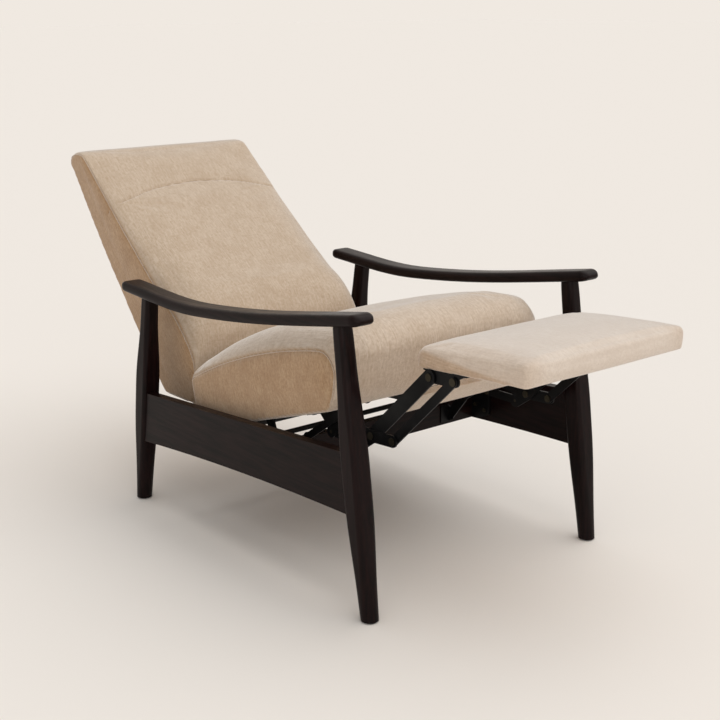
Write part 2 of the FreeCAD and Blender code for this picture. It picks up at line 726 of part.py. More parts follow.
def outline_wire(x, steps):
    """A closed outline at one place across: each step is a place, or a pair of via and place for an arc."""
    edges = []
    here = at(x, *steps[0])
    for step in steps[1:]:
        if len(step) == 4:
            there = at(x, step[2], step[3])
            edges.append(Part.Arc(here, at(x, step[0], step[1]), there).toShape())
        else:
            there = at(x, *step)
            edges.append(Part.makeLine(here, there))
        here = there
    return Part.Wire(edges)


# Distances from the side of a cushion and the share of the crown reached there
SEAT_CROWN_STEPS = ((0, 0.0), (5, 0.25), (14, 0.48), (32, 0.71), (70, 0.88), (140, 0.97))
BACK_CROWN_STEPS = ((0, 0.0), (4, 0.40), (11, 0.64), (26, 0.82), (60, 0.93), (130, 0.98))


def cushion_shape(half_width, steps, section):
    """A loft across the chair from a section that swells with its distance from the sides."""
    places = [(-half_width + step, share) for step, share in steps]
    places += [(0, 1.0)] + [(-x, share) for x, share in reversed(places)]
    return Part.makeLoft([section(x, share) for x, share in places], True)


# The seat's outline at its flat sides and at its crown: share of the seat's depth, distance
# beyond that share, and height above the seat's bottom
SEAT_SIDE = {
    "rear_top": (1, -4.3, 108.7), "rear_via": (1, -10.9, 119.2), "top_rear": (1, -23.5, 122.4),
    "top_via": (0.5, 13.1, 143.4), "nose": (0, -4.1, 83.8), "nose_radius": (0, 0, 44),
    "front_via": (0, -23.5, 27.1),
}
SEAT_CROWN = {
    "rear_top": (1, -9.0, 116.6), "rear_via": (1, -28.7, 151.2), "top_rear": (1, -72.8, 170.5),
    "top_via": (0.5, -31.4, 202.6), "nose": (0, -18.8, 109.6), "nose_radius": (0, 0, 67),
    "front_via": (0, -45.0, 28.5),
}


def seat_section(x, share):
    """The seat's outline: rear, rounded rear edge, long top, rolled nose and tucked front."""
    profile = blend(SEAT_SIDE, SEAT_CROWN, share)
    place = {key: seat_place(part * size.seat_depth + beyond, rise) for key, (part, beyond, rise) in profile.items()}
    (nose_y, nose_z), radius = place["nose"], profile["nose_radius"][2]

    def on_nose(angle):
        turn = math.radians(angle)
        return nose_y + radius * math.cos(turn), nose_z + radius * math.sin(turn)

    bottom, rear_bottom = seat_place(0, 0), seat_place(size.seat_depth, 0)
    return outline_wire(x, [
        rear_bottom, place["rear_top"], place["rear_via"] + place["top_rear"],
        place["top_via"] + on_nose(80), on_nose(140) + on_nose(200), place["front_via"] + bottom,
        rear_bottom,
    ])


# The back's outline at its flat sides and at its crown: share of the frame's length,
# distance beyond that share, and depth forward from the rear face
BACK_SIDE = {
    "rear_low": (0, -16.7, 0), "rear_via": (0.5, -2.1, -8.6), "rear_high": (1, 11.3, 0),
    "top_rear_via": (1, 35.1, 5.2), "top_rear": (1, 35.6, 25.0), "top_via": (1, 22.5, 50.5),
    "top_front": (1, 0.9, 69.0), "upper_via": (0.58, 0, 109.5), "lumbar": (0.174, 0, 154.9),
    "belly_via": (0, -7.7, 180.5), "tuck": (0, -87.0, 176.4), "lower_via": (0, -126.6, 150.5),
    "bottom_front": (0, -163.1, 119.3), "bottom_rear": (0, -55.1, 4.8), "bottom_via": (0, -37.1, 0.1),
}
BACK_CROWN = {
    "rear_low": (0, -16.7, 0), "rear_via": (0.5, -2.1, -8.6), "rear_high": (1, 11.3, 0),
    "top_rear_via": (1, 35.8, 5.8), "top_rear": (1, 37.9, 26.9), "top_via": (1, 27.2, 54.3),
    "top_front": (1, 3.4, 72.3), "upper_via": (0.58, 0, 149.4), "lumbar": (0.174, -9.9, 220.5),
    "belly_via": (0, -8.2, 252.8), "tuck": (0, -70.2, 235.5), "lower_via": (0, -117.4, 177.7),
    "bottom_front": (0, -163.7, 120.1), "bottom_rear": (0, -55.1, 4.8), "bottom_via": (0, -37.1, 0.1),
}


def back_section(x, share):
    """The back's outline: gently full rear, rounded top, long front, full lumbar and tucked foot."""
    start, run = size.back_frame_start, size.back_frame_length
    place = {
        key: back_place(start + part * run + beyond, depth)
        for key, (part, beyond, depth) in blend(BACK_SIDE, BACK_CROWN, share).items()}
    return outline_wire(x, [
        place["rear_low"], place["rear_via"] + place["rear_high"], place["top_rear_via"] + place["top_rear"],
        place["top_via"] + place["top_front"], place["upper_via"] + place["lumbar"],
        place["belly_via"] + place["tuck"], place["lower_via"] + place["bottom_front"], place["bottom_rear"],
        place["bottom_via"] + place["rear_low"],
    ])


def footrest_section(x, share, inset):
    """The footrest's outline with a share of its crown, drawn in all round by an inset."""
    high, depth = size.footrest_thickness - inset, size.footrest_length - inset
    crown, edge = share * size.footrest_crown, size.footrest_round
    nip = edge * (1 - math.sqrt(0.5))
    spot = footrest_place
    return outline_wire(x, [
        spot(inset, inset), spot(inset, high - edge),
        spot(inset + nip, high - nip) + spot(inset + edge, high),
        spot(size.footrest_length / 2, high + crown) + spot(depth - edge, high),
        spot(depth - nip, high - nip) + spot(depth, high - edge), spot(depth, inset), spot(inset, inset),
    ])


# Seat

STRAP_COUNT = 5
# Where the guide hanger is fixed to the seat rail: behind the guide rod, and above the seat's bottom
GUIDE_ROOT = (18, 45)


def seat_box(label, x_start, length, along, width, rise, height):
    """A box laid in the seat's own directions, with its sides bound to expressions."""
    return bound_box(label, seat_at(x_start, along, rise), -size.seat_angle, length, width, height)


def seat_screw_shape(x, along):
    """A screw up through the seat plate's flange into the seat frame."""
    axis = seat_at(0, 0, 1) - seat_at(0, 0, 0)
    thickness = size.seat_plate_thickness
    rise = size.seat_screw_head_height
    head = Part.makeCylinder(size.screw_head_radius, rise, seat_at(x, along, -thickness - rise), axis)
    shank = Part.makeCylinder(size.screw_shank_radius, size.seat_screw_reach + thickness,
                              seat_at(x, along, -thickness), axis)
    return head.fuse(shank).removeSplitter()


def make_seat():
    """Seat frame, webbing, cushion, steel plates, hangers and the guide rod."""
    face = layers()
    inset, frame_face = size.seat_frame_inset, size.seat_frame_face
    run, height, wood = size.seat_depth - 2 * inset, size.seat_frame_height, size.seat_rail_thickness
    inner = frame_face - wood
    rivet = size.rivet_radius
    run_words = "Sizes.seat_depth - 2 * Sizes.seat_frame_inset"
    between = "2 * (Sizes.seat_frame_face - Sizes.seat_rail_thickness)"

    screws, hollows = [], []
    plate_front, plate_rear = size.seat_plate_front, size.seat_plate_rear
    for side, sign in SIDES:
        for along in (plate_front + size.seat_plate_screw_inset, plate_rear - size.seat_plate_screw_inset):
            screws.append(seat_screw_shape(sign * (inner + wood / 2), along))
    screw_group = keep("seat_plate_screws", feature("seat_plate_screws", Part.makeCompound(screws)))

    for side, sign in SIDES:
        start = inner if sign > 0 else -frame_face
        rail = seat_box(side + "_seat_rail_block", start, "Sizes.seat_rail_thickness", inset, run_words, 0,
                        "Sizes.seat_frame_height")
        keep(side + "_seat_rail", minus(side + "_seat_rail", rail, screw_group))

        plate = bar_shape(sign * face.plate_in, sign * face.plate_out, pivot("lower_pivot"),
                          pivot("second_pivot"), size.lower_link_width)
        web = plate_shape(sign * face.plate_in, sign * face.plate_out, (
            seat_place(plate_front, 0), seat_place(plate_rear, 0), pivot("second_pivot"), pivot("lower_pivot")))
        flange_out = frame_face - size.flange_thickness
        flange = Part.makeBox(flange_out - face.plate_in, plate_rear - plate_front, size.seat_plate_thickness)
        flange.Placement = Placement(
            seat_at(face.plate_in if sign > 0 else -flange_out, plate_front, -size.seat_plate_thickness),
            Rotation(Vector(1, 0, 0), -size.seat_angle))
        plate = plate.fuse([web, flange]).removeSplitter()
        plate = bored(plate, sign, face.plate_in, face.plate_out, ("lower_pivot", rivet), ("second_pivot", rivet))
        plate = feature(side + "_seat_plate_blank", plate)
        keep(side + "_seat_plate", minus(side + "_seat_plate", plate, screw_group))

        hang_in = inner - size.plate_thickness
        root_width, width = size.hanger_root_width, size.hanger_width
        root = seat_place(run - root_width, root_width)
        hanger = bar_shape(sign * hang_in, sign * inner, root, pivot("pivot"), root_width)
        hanger = hanger.fuse(bar_shape(sign * hang_in, sign * inner, pivot("pivot"), pivot("hinge"), width))
        hanger = hanger.fuse(bar_shape(sign * hang_in, sign * inner, root, pivot("hinge"), width)).removeSplitter()
        hanger = bored(hanger, sign, hang_in, inner, ("pivot", size.tube_radius + RUNNING_FIT),
                       ("hinge", size.hinge_radius + RUNNING_FIT))
        keep(side + "_rear_hanger", feature(side + "_rear_hanger", hanger))
        hollows.append(hanger)

        along = (size.guide_y - size.seat_front_y) / math.cos(math.radians(size.seat_angle))
        guide = bar_shape(sign * hang_in, sign * inner, seat_place(along + GUIDE_ROOT[0], GUIDE_ROOT[1]),
                          pivot("guide"), size.guide_hanger_width)
        guide = bored(guide, sign, hang_in, inner, ("guide", size.guide_radius))
        keep(side + "_guide_hanger", feature(side + "_guide_hanger", guide))

    keep("seat_front_rail", seat_box(
        "seat_front_rail", -inner, between, inset, "Sizes.board_thickness", size.seat_front_rail_lift,
        "Sizes.seat_frame_height - Sizes.seat_front_rail_lift"))
    keep("seat_rear_rail", seat_box(
        "seat_rear_rail", -(inner - size.plate_thickness), between + " - 2 * Sizes.plate_thickness",
        inset + run - size.board_thickness, "Sizes.board_thickness", 0, "Sizes.seat_frame_height"))

    first_strap = -(inner - size.plate_thickness - 1)
    pitch = (-2 * first_strap - size.strap_width) / (STRAP_COUNT - 1)
    webbing = []
    for count in range(STRAP_COUNT):
        strap = Part.makeBox(size.strap_width, run, size.webbing_thickness)
        strap.Placement = Placement(seat_at(first_strap + count * pitch, inset, height),
                                    Rotation(Vector(1, 0, 0), -size.seat_angle))
        webbing.append(strap)
    keep("seat_webbing", feature("seat_webbing", Part.makeCompound(webbing)))

    reach = size.rail_inner_face - size.running_clearance
    keep("guide_rod", bound_rod("guide_rod", at(-reach, *pivot("guide")), "Sizes.guide_radius",
                                "2 * (Sizes.rail_inner_face - Sizes.running_clearance)"))

    cushion = cushion_shape(size.seat_half_width, SEAT_CROWN_STEPS, seat_section)
    level = Rotation(Vector(1, 0, 0), -size.seat_angle)
    below, relief_height, relief_margin = 2, 6, 1
    hollow = Part.makeBox(2 * frame_face, run, height + size.webbing_thickness + below)
    hollow.Placement = Placement(seat_at(-frame_face, inset, -below), level)
    relief_in, relief_out = face.lower_in - relief_margin, face.drive_out + relief_margin
    for side, sign in SIDES:
        relief = Part.makeBox(relief_out - relief_in, inset, relief_height + below)
        relief.Placement = Placement(seat_at(relief_in if sign > 0 else -relief_out, below, -below), level)
        hollows.append(relief)
    cushion = cushion.cut([hollow] + hollows)
    keep("seat_cushion", feature("seat_cushion", largest_solid(cushion)))


def largest_solid(shape):
    """The largest solid of a shape."""
    return max(shape.Solids, key=lambda solid: solid.Volume)


# Back

# The pocket in the cushion round the hinge: along and up from the hinge three times, from
# the hinge plate's root twice and from the hinge once more, and its play inwards and outwards
HINGE_POCKET = ((-60, -70), (-60, 26), (20, 28), (0, 30), (10, -30), (60, -70))
POCKET_PLAY = (0.5, 8)


def make_back():
    """Back frame, webbing, rear panel, cushion and the two hinge plates."""
    frame_face, skin = size.back_frame_face, size.back_skin
    post_depth = skin + size.panel_thickness
    inner = frame_face - size.back_post_thickness
    start, run = size.back_frame_start, size.back_frame_length
    run_words = "Sizes.back_frame_length"

    def back_box(label, x_start, length, along, width, depth, height):
        return bound_box(label, back_at(x_start, along, depth), size.back_angle, length, width, height)

    plate_out = size.seat_frame_face - size.seat_rail_thickness - size.plate_thickness - size.running_clearance
    plate_in = plate_out - size.plate_thickness
    plate_width = size.hinge_plate_width
    root_place = back_place(start + size.hinge_plate_root, post_depth + plate_width / 2 + size.running_clearance)
    for side, sign in SIDES:
        post_start = inner if sign > 0 else -frame_face
        keep(side + "_back_post", back_box(
            side + "_back_post", post_start, "Sizes.back_post_thickness", start, run_words, post_depth,
            "Sizes.back_post_depth"))
        plate = bar_shape(sign * plate_in, sign * plate_out, pivot("hinge"), root_place, plate_width)
        hanger_out = plate_out + size.running_clearance + size.plate_thickness
        y, z = pivot("hinge")
        pin_end = hanger_out + size.running_clearance
        pin = rod_shape(sign * plate_in, sign * pin_end, y, z, size.hinge_radius)
        pin_head = rod_shape(sign * pin_end, sign * (pin_end + size.rivet_head_height), y, z,
                             size.rivet_head_radius + 1)
        plate = plate.fuse([pin, pin_head]).removeSplitter()
        keep(side + "_hinge_plate", feature(side + "_hinge_plate", plate))

    between = "2 * (Sizes.back_frame_face - Sizes.back_post_thickness)"
    keep("back_top_rail", back_box(
        "back_top_rail", -inner, between, start + run - size.back_rail_height, "Sizes.back_rail_height", post_depth,
        "Sizes.board_thickness"))
    keep("back_bottom_rail", back_box(
        "back_bottom_rail", -plate_in,
        "2 * (Sizes.seat_frame_face - Sizes.seat_rail_thickness - 2 * Sizes.plate_thickness"
        " - Sizes.running_clearance)", start, "Sizes.back_rail_height", post_depth, "Sizes.board_thickness"))
    keep("back_rear_panel", back_box(
        "back_rear_panel", -frame_face, "2 * Sizes.back_frame_face", start, run_words, skin,
        "Sizes.panel_thickness"))

    end_margin, lean = size.back_webbing_margin, Rotation(Vector(1, 0, 0), size.back_angle)
    pitch = (run - 2 * end_margin - size.strap_width) / (STRAP_COUNT - 1)
    webbing = []
    front = post_depth + size.back_post_depth
    for count in range(STRAP_COUNT):
        strap = Part.makeBox(2 * frame_face, size.strap_width, size.webbing_thickness)
        strap.Placement = Placement(back_at(-frame_face, start + end_margin + count * pitch, front), lean)
        webbing.append(strap)
    keep("back_webbing", feature("back_webbing", Part.makeCompound(webbing)))

    cushion = cushion_shape(size.back_half_width, BACK_CROWN_STEPS, back_section)
    hollow = Part.makeBox(2 * frame_face, run, front + size.webbing_thickness - skin)
    hollow.Placement = Placement(back_at(-frame_face, start, skin), lean)
    pockets = []
    for side, sign in SIDES:
        outline = shifted((pivot("hinge"),) * 3 + (root_place,) * 2 + (pivot("hinge"),), HINGE_POCKET)
        pockets.append(plate_shape(sign * (plate_in - POCKET_PLAY[0]), sign * (plate_out + POCKET_PLAY[1]), outline))
    cushion = cushion.cut([hollow] + pockets)
    keep("back_cushion", feature("back_cushion", largest_solid(cushion)))


# Footrest

# Distance from the side, share of the crown and inset of the outline, the first and last
# as shares of the edge's rounding
FOOTREST_ROUND_STEPS = ((0, 0.1, 0.62), (0.12, 0.2, 0.33), (0.45, 0.4, 0.09), (1.0, 0.6, 0.0), (6.0, 0.9, 0.0))


def make_footrest():
    """Footrest board, cushion and the two brackets that its links hold."""
    face = layers()
    inset, half = size.footrest_board_inset, size.footrest_half_width
    places = [(step * size.footrest_round - half, share, shrink * size.footrest_round)
              for step, share, shrink in FOOTREST_ROUND_STEPS]
    places += [(0, 1.0, 0.0)] + [(-x, share, shrink) for x, share, shrink in reversed(places)]
    cushion = Part.makeLoft([footrest_section(*place) for place in places], True, True)
    board = bound_box(
        "footrest_board", footrest_at(-(half - inset), size.footrest_length - inset, 0), -size.footrest_slope,
        "2 * (Sizes.footrest_half_width - Sizes.footrest_board_inset)",
        "Sizes.footrest_length - 2 * Sizes.footrest_board_inset", "Sizes.footrest_board_thickness")
    doc.recompute()
    keep("footrest_board", board)
    below = board.Shape.copy()
    below.translate(footrest_at(0, 0, -size.footrest_board_thickness / 2) - footrest_at(0, 0, 0))
    hollows = [board.Shape, below]

    lobe = size.outer_link_width + 4
    for side, sign in SIDES:
        pivots = pivot("pad_pivot"), pivot("outer_pad_pivot")
        bracket = bar_shape(sign * face.pad_in, sign * face.pad_out, pivots[0], pivots[1], lobe)
        rear = size.footrest_rear_y - pivots[0][0] - size.footrest_flange_rear
        front = size.footrest_rear_y - pivots[1][0] + size.footrest_flange_front
        web = plate_shape(sign * face.pad_in, sign * face.pad_out, (
            footrest_place(rear, 0), pivots[0], pivots[1], footrest_place(front, 0)))
        width, thickness = size.footrest_flange_width, size.flange_thickness
        flange = Part.makeBox(width, front - rear, thickness)
        x = face.pad_out - width if sign > 0 else -face.pad_out
        flange.Placement = Placement(footrest_at(x, front, -thickness),
                                     Rotation(Vector(1, 0, 0), -size.footrest_slope))
        bracket = bracket.fuse([web, flange]).removeSplitter().cut(board.Shape)
        hollows.append(bracket)
        bracket = bored(bracket, sign, face.pad_in, face.pad_out, ("pad_pivot", size.rivet_radius),
                        ("outer_pad_pivot", size.rivet_radius))
        keep(side + "_footrest_bracket", feature(side + "_footrest_bracket", bracket))
    keep("footrest_cushion", feature("footrest_cushion", largest_solid(cushion.cut(hollows))))


make_frame()
make_linkage()
make_seat()
make_back()
make_footrest()
doc.recompute()

# Checks before anything is written

for obj in doc.Objects:
    if "Invalid" in obj.State or "Error" in obj.State:
        raise RuntimeError("object failed: " + obj.Name)
for label, obj in nodes.items():
    if obj.Shape.isNull() or not obj.Shape.isValid() or not obj.Shape.Solids:
        raise RuntimeError("bad shape: " + label)

os.makedirs("parts", exist_ok=True)
box = FreeCAD.BoundBox()
for label, obj in nodes.items():
    obj.Shape.exportStep(os.path.join("parts", label + ".step"))
    box.add(obj.Shape.BoundBox)
print("nodes", len(nodes))
print("across %.1f..%.1f along %.1f..%.1f up %.1f..%.1f" % (box.XMin, box.XMax, box.YMin, box.YMax, box.ZMin, box.ZMax))
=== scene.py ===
import math

import bmesh
import bpy
import numpy as np
from mathutils import Matrix, Vector
from mathutils.kdtree import KDTree


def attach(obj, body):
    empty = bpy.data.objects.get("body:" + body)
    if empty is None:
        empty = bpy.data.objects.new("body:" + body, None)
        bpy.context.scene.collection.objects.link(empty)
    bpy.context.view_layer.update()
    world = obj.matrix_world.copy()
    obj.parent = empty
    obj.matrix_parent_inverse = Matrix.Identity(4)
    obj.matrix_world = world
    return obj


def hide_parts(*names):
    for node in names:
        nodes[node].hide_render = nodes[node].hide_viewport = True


# Recliner: the look of its cushions, wood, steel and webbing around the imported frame.
# X runs across the chair, -Y is the front and Z is up. Outlines are in millimetres on the
# chair's own datum, which lies SETBACK in front of the origin. Places of a cushion are in
# its own directions: along to the rear and rise in the seat, along to the top and depth to
# the front in the back, forward and rise in the footrest.

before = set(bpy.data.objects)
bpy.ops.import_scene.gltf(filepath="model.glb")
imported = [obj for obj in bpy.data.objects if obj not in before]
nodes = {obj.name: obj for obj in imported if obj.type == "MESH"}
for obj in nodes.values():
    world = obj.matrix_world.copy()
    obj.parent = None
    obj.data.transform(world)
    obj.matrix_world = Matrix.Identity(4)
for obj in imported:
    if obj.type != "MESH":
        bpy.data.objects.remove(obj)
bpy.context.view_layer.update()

SETBACK = 179.7
MM = 0.001

SEAT_ORIGIN, SEAT_LEAN, SEAT_DEPTH, SEAT_HALF = (-150.0, 391.0), 18.0, 520.0, 294.0
BACK_ORIGIN, BACK_SLOPE, BACK_START, BACK_RUN, BACK_HALF = (666.0, 388.0), 50.7, -78.0, 575.0, 256.0
REST_ORIGIN, REST_SLOPE, REST_LENGTH, REST_HALF = (-345.0, 518.0), 4.3, 296.0, 227.0
REST_THICK, REST_CROWN, REST_EDGE, REST_CORNER, REST_DROP = 44.0, 12.0, 12.0, 12.0, 5.0

# Each point of an outline: its share of the cushion's length, how far it lies beyond that, and its height.
SEAT_SIDE = {
    "rear_top": (1, -4.3, 108.7), "rear_via": (1, -10.9, 119.2), "top_rear": (1, -23.5, 122.4),
    "top_via": (0.5, 13.1, 143.4), "nose": (0, -4.1, 83.8), "nose_radius": (0, 0, 44),
    "front_via": (0, -23.5, 27.1),
}
SEAT_CROWN = {
    "rear_top": (1, -9.0, 116.6), "rear_via": (1, -28.7, 151.2), "top_rear": (1, -72.8, 170.5),
    "top_via": (0.5, -31.4, 202.6), "nose": (0, -18.8, 109.6), "nose_radius": (0, 0, 67),
    "front_via": (0, -45.0, 28.5),
}
NOSE_START, NOSE_MIDDLE, NOSE_END = 80, 140, 200
BACK_SIDE = {
    "rear_low": (0, -50.0, 0), "rear_via": (0.5, -2.1, -8.6), "rear_high": (1, 11.3, 0),
    "top_rear_via": (1, 35.1, 5.2), "top_rear": (1, 35.6, 25.0), "top_via": (1, 22.5, 50.5),
    "top_front": (1, 0.9, 69.0), "upper_via": (0.58, 0, 109.5), "lumbar": (0.174, 0, 154.9),
    "belly_via": (0, -7.7, 180.5), "tuck": (0, -87.0, 176.4), "lower_via": (0, -126.6, 150.5),
    "bottom_front": (0, -177.0, 112.0), "bottom_rear": (0, -90.0, 6.0), "bottom_via": (0, -72.0, 0.4),
}
BACK_CROWN = {
    "rear_low": (0, -50.0, 0), "rear_via": (0.5, -2.1, -8.6), "rear_high": (1, 11.3, 0),
    "top_rear_via": (1, 35.8, 5.8), "top_rear": (1, 37.9, 26.9), "top_via": (1, 27.2, 54.3),
    "top_front": (1, 3.4, 72.3), "upper_via": (0.58, 0, 149.4), "lumbar": (0.174, -9.9, 220.5),
    "belly_via": (0, -8.2, 252.8), "tuck": (0, -70.2, 235.5), "lower_via": (0, -117.4, 177.7),
    "bottom_front": (0, -177.5, 112.8), "bottom_rear": (0, -90.0, 6.0), "bottom_via": (0, -72.0, 0.4),
}

# How much of the crown is reached at a distance from the cushion's flat side, and where sections lie.
SEAT_STEPS = ((0, 0.0), (5, 0.25), (14, 0.48), (32, 0.71), (70, 0.88), (140, 0.97))
BACK_STEPS = ((0, 0.0), (4, 0.40), (11, 0.64), (26, 0.82), (60, 0.93), (130, 0.98))
REST_STEPS = ((0, 0.0), (10, 0.14), (30, 0.40), (60, 0.66), (110, 0.88), (225, 1.0))
SECTIONS = (0, 1.5, 3, 5, 8, 12, 17, 24, 32, 42, 55, 70, 90, 112, 140)
SECTIONS_MIDDLE = 170
REST_SECTIONS = (0, 0.6, 1.4, 2.6, 4, 6, 8.5, 11.5, 15, 19, 24, 32, 45, 62, 80)
REST_SECTIONS_MIDDLE = 107
MIDDLE_COUNT = 9
SEAT_POINTS, BACK_POINTS, REST_POINTS = 260, 300, 200
REST_END_DROP, REST_END_REACH, REST_CORNER_SHARE = 6.5, 18.0, 0.98

# Hollows for the frames and reliefs for the links: half width or edges across, then low and high corners.
SEAT_HOLLOW = (272, (15, -5), (505, 78))
SEAT_ROOM = (0.2735, 0.0795, 0.013, 0.507)
LINK_RELIEF_EDGES, LINK_RELIEF_WIDE, LINK_RELIEF = (-242.5, 228), 14.5, ((-30, -5), (18, 8))
REST_HOLLOW = (213, (12, -9), (283, 12))
REST_ROOM = (0.2145, 0.0135, 0.0105, 0.2845)

# The curved seam below the head: across the back, and along it.
HEAD_SEAM = (
    (-256, 318.0), (-230, 322.0), (-204, 329.0), (-160, 343.0), (-116, 355.0), (-60, 363.0), (0, 367.0),
    (60, 363.0), (116, 355.0), (160, 343.0), (204, 329.0), (230, 322.0), (256, 318.0))
HEAD_SEAM_REACH, HEAD_SEAM_POINTS = 0.255, 80

# Where an effect on a soft part fades out or in, from and to, in metres and its own directions.
NOSE_RISE, NOSE_ALONG, NOSE_INWARD = (0.085, 0.12), (-0.075, 0.08), (0.0, 0.04)
SEAT_FREE, NOSE_CAP_ALONG, LINKS_RISE, LINKS_ALONG = (0.004, 0.05), (-0.03, 0.05), (0.078, 0.11), (-0.03, 0.0)
BACK_FRONT, BACK_ALONG, BACK_INWARD = (0.06, 0.10), (-0.24, -0.20), (0.002, 0.03)
BACK_FREE, BACK_FREE_HEIGHT = (0.004, 0.06), (0.285, 0.33)
REST_TOP, REST_FREE, REST_END_RISE = (0.012, 0.03), (0.002, 0.012), (0.034, 0.046)

# Soft parts, in metres: mesh, unevenness, and the cloth's start, way and settings.
CUSHION_VOXEL, REST_VOXEL, BRIDGE_VOXEL, ARM_VOXEL = 0.005, 0.004, 0.003, 0.0025
SEAT_RIPPLE, BACK_RIPPLE, REST_RIPPLE, BRIDGE_RIPPLE = 0.0009, 0.0011, 0.0007, 0.0004
CUSHION_SHRINK, REST_SHRINK = 0.003, 0.0015
SEAT_PANEL_CAP, SEAT_FACE_CAP, SEAT_NOSE_CAP = 0.005, 0.0025, 0.005
BACK_PANEL_CAP, BACK_FACE_CAP, REST_CAP = 0.006, 0.009, 0.005
CLOTH_FRAMES = 14
CLOTH_SETTINGS = {
    "use_pressure": True, "uniform_pressure_force": 4.0, "vertex_group_mass": "held", "quality": 5,
    "tension_stiffness": 20, "compression_stiffness": 20, "shear_stiffness": 8, "bending_stiffness": 0.8,
}
LOOSE, LEVEL_PERCENT = 0.3, 20
LIFT_SHARE, SINK, SLIDE_SHARE, SLIDE = 0.7, -0.001, 0.4, 0.003
NOSE_FORWARD = 0.007
SEWN_RISE, SEWN_ALONG, SEAM_HOLD, SEAM_HOLD_REACH = 0.012, -0.24, 0.95, 0.005
HEAD_SEAM_DEPTH = 0.075
BACK_SMOOTHING, REST_SMOOTHING = 260, 14
# Side panels, which carry painted shade, begin and end these many millimetres inside the cushion's side.
PANEL_EDGE, PANEL_FULL = 2.6, 0.6
# Painted shade on the footrest: on its ends below the top, and a share growing toward both sides.
REST_END_SHADE, REST_END_SHADE_EDGE, REST_SIDE_SHADE, REST_SIDE_SHADE_EDGES = 0.75, 9, 0.22, (70, 4)
NAP_SHARE = 0.9
WELT_RADIUS = 0.0011
GROOVE_DEPTH, GROOVE_REACH = 0.0026, 0.0032
PUCKER_DEPTH, PUCKER_REACH = 0.0006, 0.008
ARM_NOSE, ARM_LONGER_FRONT, ARM_LONGER_REAR = 0.016, 0.008, 0.003

# Colours as they are seen, 0 to 255
PAPER = (240, 233, 225)
FACE_WEAVE = ((195, 174, 152), (211, 192, 172), (223, 208, 192), (181, 157, 132))
# Side panels: darker and warmer, as painted shade with warm bounce light.
PANEL_SHADE_WEAVE = ((171, 136, 101), (189, 155, 120), (205, 177, 145), (151, 116, 83))
# A pale painted sheen, and a darker painted shade for the seams.
PAINTED_SHEEN_COLOUR, SEAM_SHADE = (238, 227, 217), (140, 112, 84)
ESPRESSO_DEEP, ESPRESSO, ESPRESSO_WARM = (10, 5, 5), (27, 13, 12), (30, 14, 15)
SAWN_DEEP, SAWN_PALE = (172, 132, 88), (205, 168, 122)
STRAP_DEEP, STRAP_PALE = (26, 26, 27), (58, 57, 56)
# Painted shade that deepens the back, as factors of the shader's own numbers
BACK_PAINTED_SHADE = (0.905, 0.88, 0.84, 1.0)

WORLD_STRENGTH = 0.48
LAMPS = (("key", (0.40, -0.25, 1.0), 1.56, 80), ("fill", (-0.7, -0.8, 0.45), 0.55, 60))

FLOOR_HALF = 60.0
CAMERA_ANGLES = (-39.257, 15.075, -0.221)
CAMERA_TARGET, CAMERA_DISTANCE = (0, -0.074389, 0.416399), 3.042188
FOCAL_PIXELS, CENTRE_PIXELS, IMAGE_PIXELS = 1304.629, (359.363, 351.83), 720
SENSOR, CLIP_END = 36.0, 200


# Places

def seat_place(along, rise):
    """A place on the datum from the seat's directions, which lean down to the rear."""
    t = math.radians(SEAT_LEAN)
    return (SEAT_ORIGIN[0] + along * math.cos(t) + rise * math.sin(t),
            SEAT_ORIGIN[1] - along * math.sin(t) + rise * math.cos(t))


def back_place(along, depth):
    """A place on the datum from the back's directions."""
    t = math.radians(BACK_SLOPE)
    return (BACK_ORIGIN[0] + along * math.cos(t) - depth * math.sin(t),
            BACK_ORIGIN[1] + along * math.sin(t) + depth * math.cos(t))


def rest_place(forward, rise):
    """A place on the datum from the footrest's directions."""
    t = math.radians(REST_SLOPE)
    return (REST_ORIGIN[0] - forward * math.cos(t) - rise * math.sin(t),
            REST_ORIGIN[1] + forward * math.sin(t) + rise * math.cos(t))


def metres(x, y, z):
    """A point of the model from a place on the datum."""
    return (x * MM, (y - SETBACK) * MM, z * MM)


def from_origin(co, origin):
    """Y and Z of points of the model from an origin on the datum, in metres."""
    return co[:, 1] + (SETBACK - origin[0]) * MM, co[:, 2] - origin[1] * MM


def in_seat(co):
    """Along and rise of points in the seat's own directions, in metres."""
    t = math.radians(SEAT_LEAN)
    y, z = from_origin(co, SEAT_ORIGIN)
    return y * math.cos(t) - z * math.sin(t), y * math.sin(t) + z * math.cos(t)


def in_back(co):
    """Along and depth of points in the back's own directions, in metres."""
    t = math.radians(BACK_SLOPE)
    y, z = from_origin(co, BACK_ORIGIN)
    return y * math.cos(t) + z * math.sin(t), -y * math.sin(t) + z * math.cos(t)


def in_rest(co):
    """Forward and rise of points in the footrest's own directions, in metres."""
    t = math.radians(REST_SLOPE)
    y, z = from_origin(co, REST_ORIGIN)
    return -y * math.cos(t) + z * math.sin(t), -y * math.sin(t) + z * math.cos(t)


# Outlines of the cushions

def arc(a, via, b, count):
    """Points of the arc from a through via to b."""
    a, via, b = (np.array(p, float) for p in (a, via, b))
    half_squares = 0.5 * np.array([via @ via - a @ a, b @ b - a @ a])
    centre = np.linalg.solve(np.array([via - a, b - a]), half_squares)
    radius = np.linalg.norm(a - centre)
    first, mid, last = (math.atan2(p[1] - centre[1], p[0] - centre[0]) for p in (a, via, b))
    sweep = (last - first) % (2 * math.pi)
    if (mid - first) % (2 * math.pi) > sweep:
        sweep -= 2 * math.pi
    turn = first + np.linspace(0, sweep, count)
    return np.c_[centre[0] + radius * np.cos(turn), centre[1] + radius * np.sin(turn)]


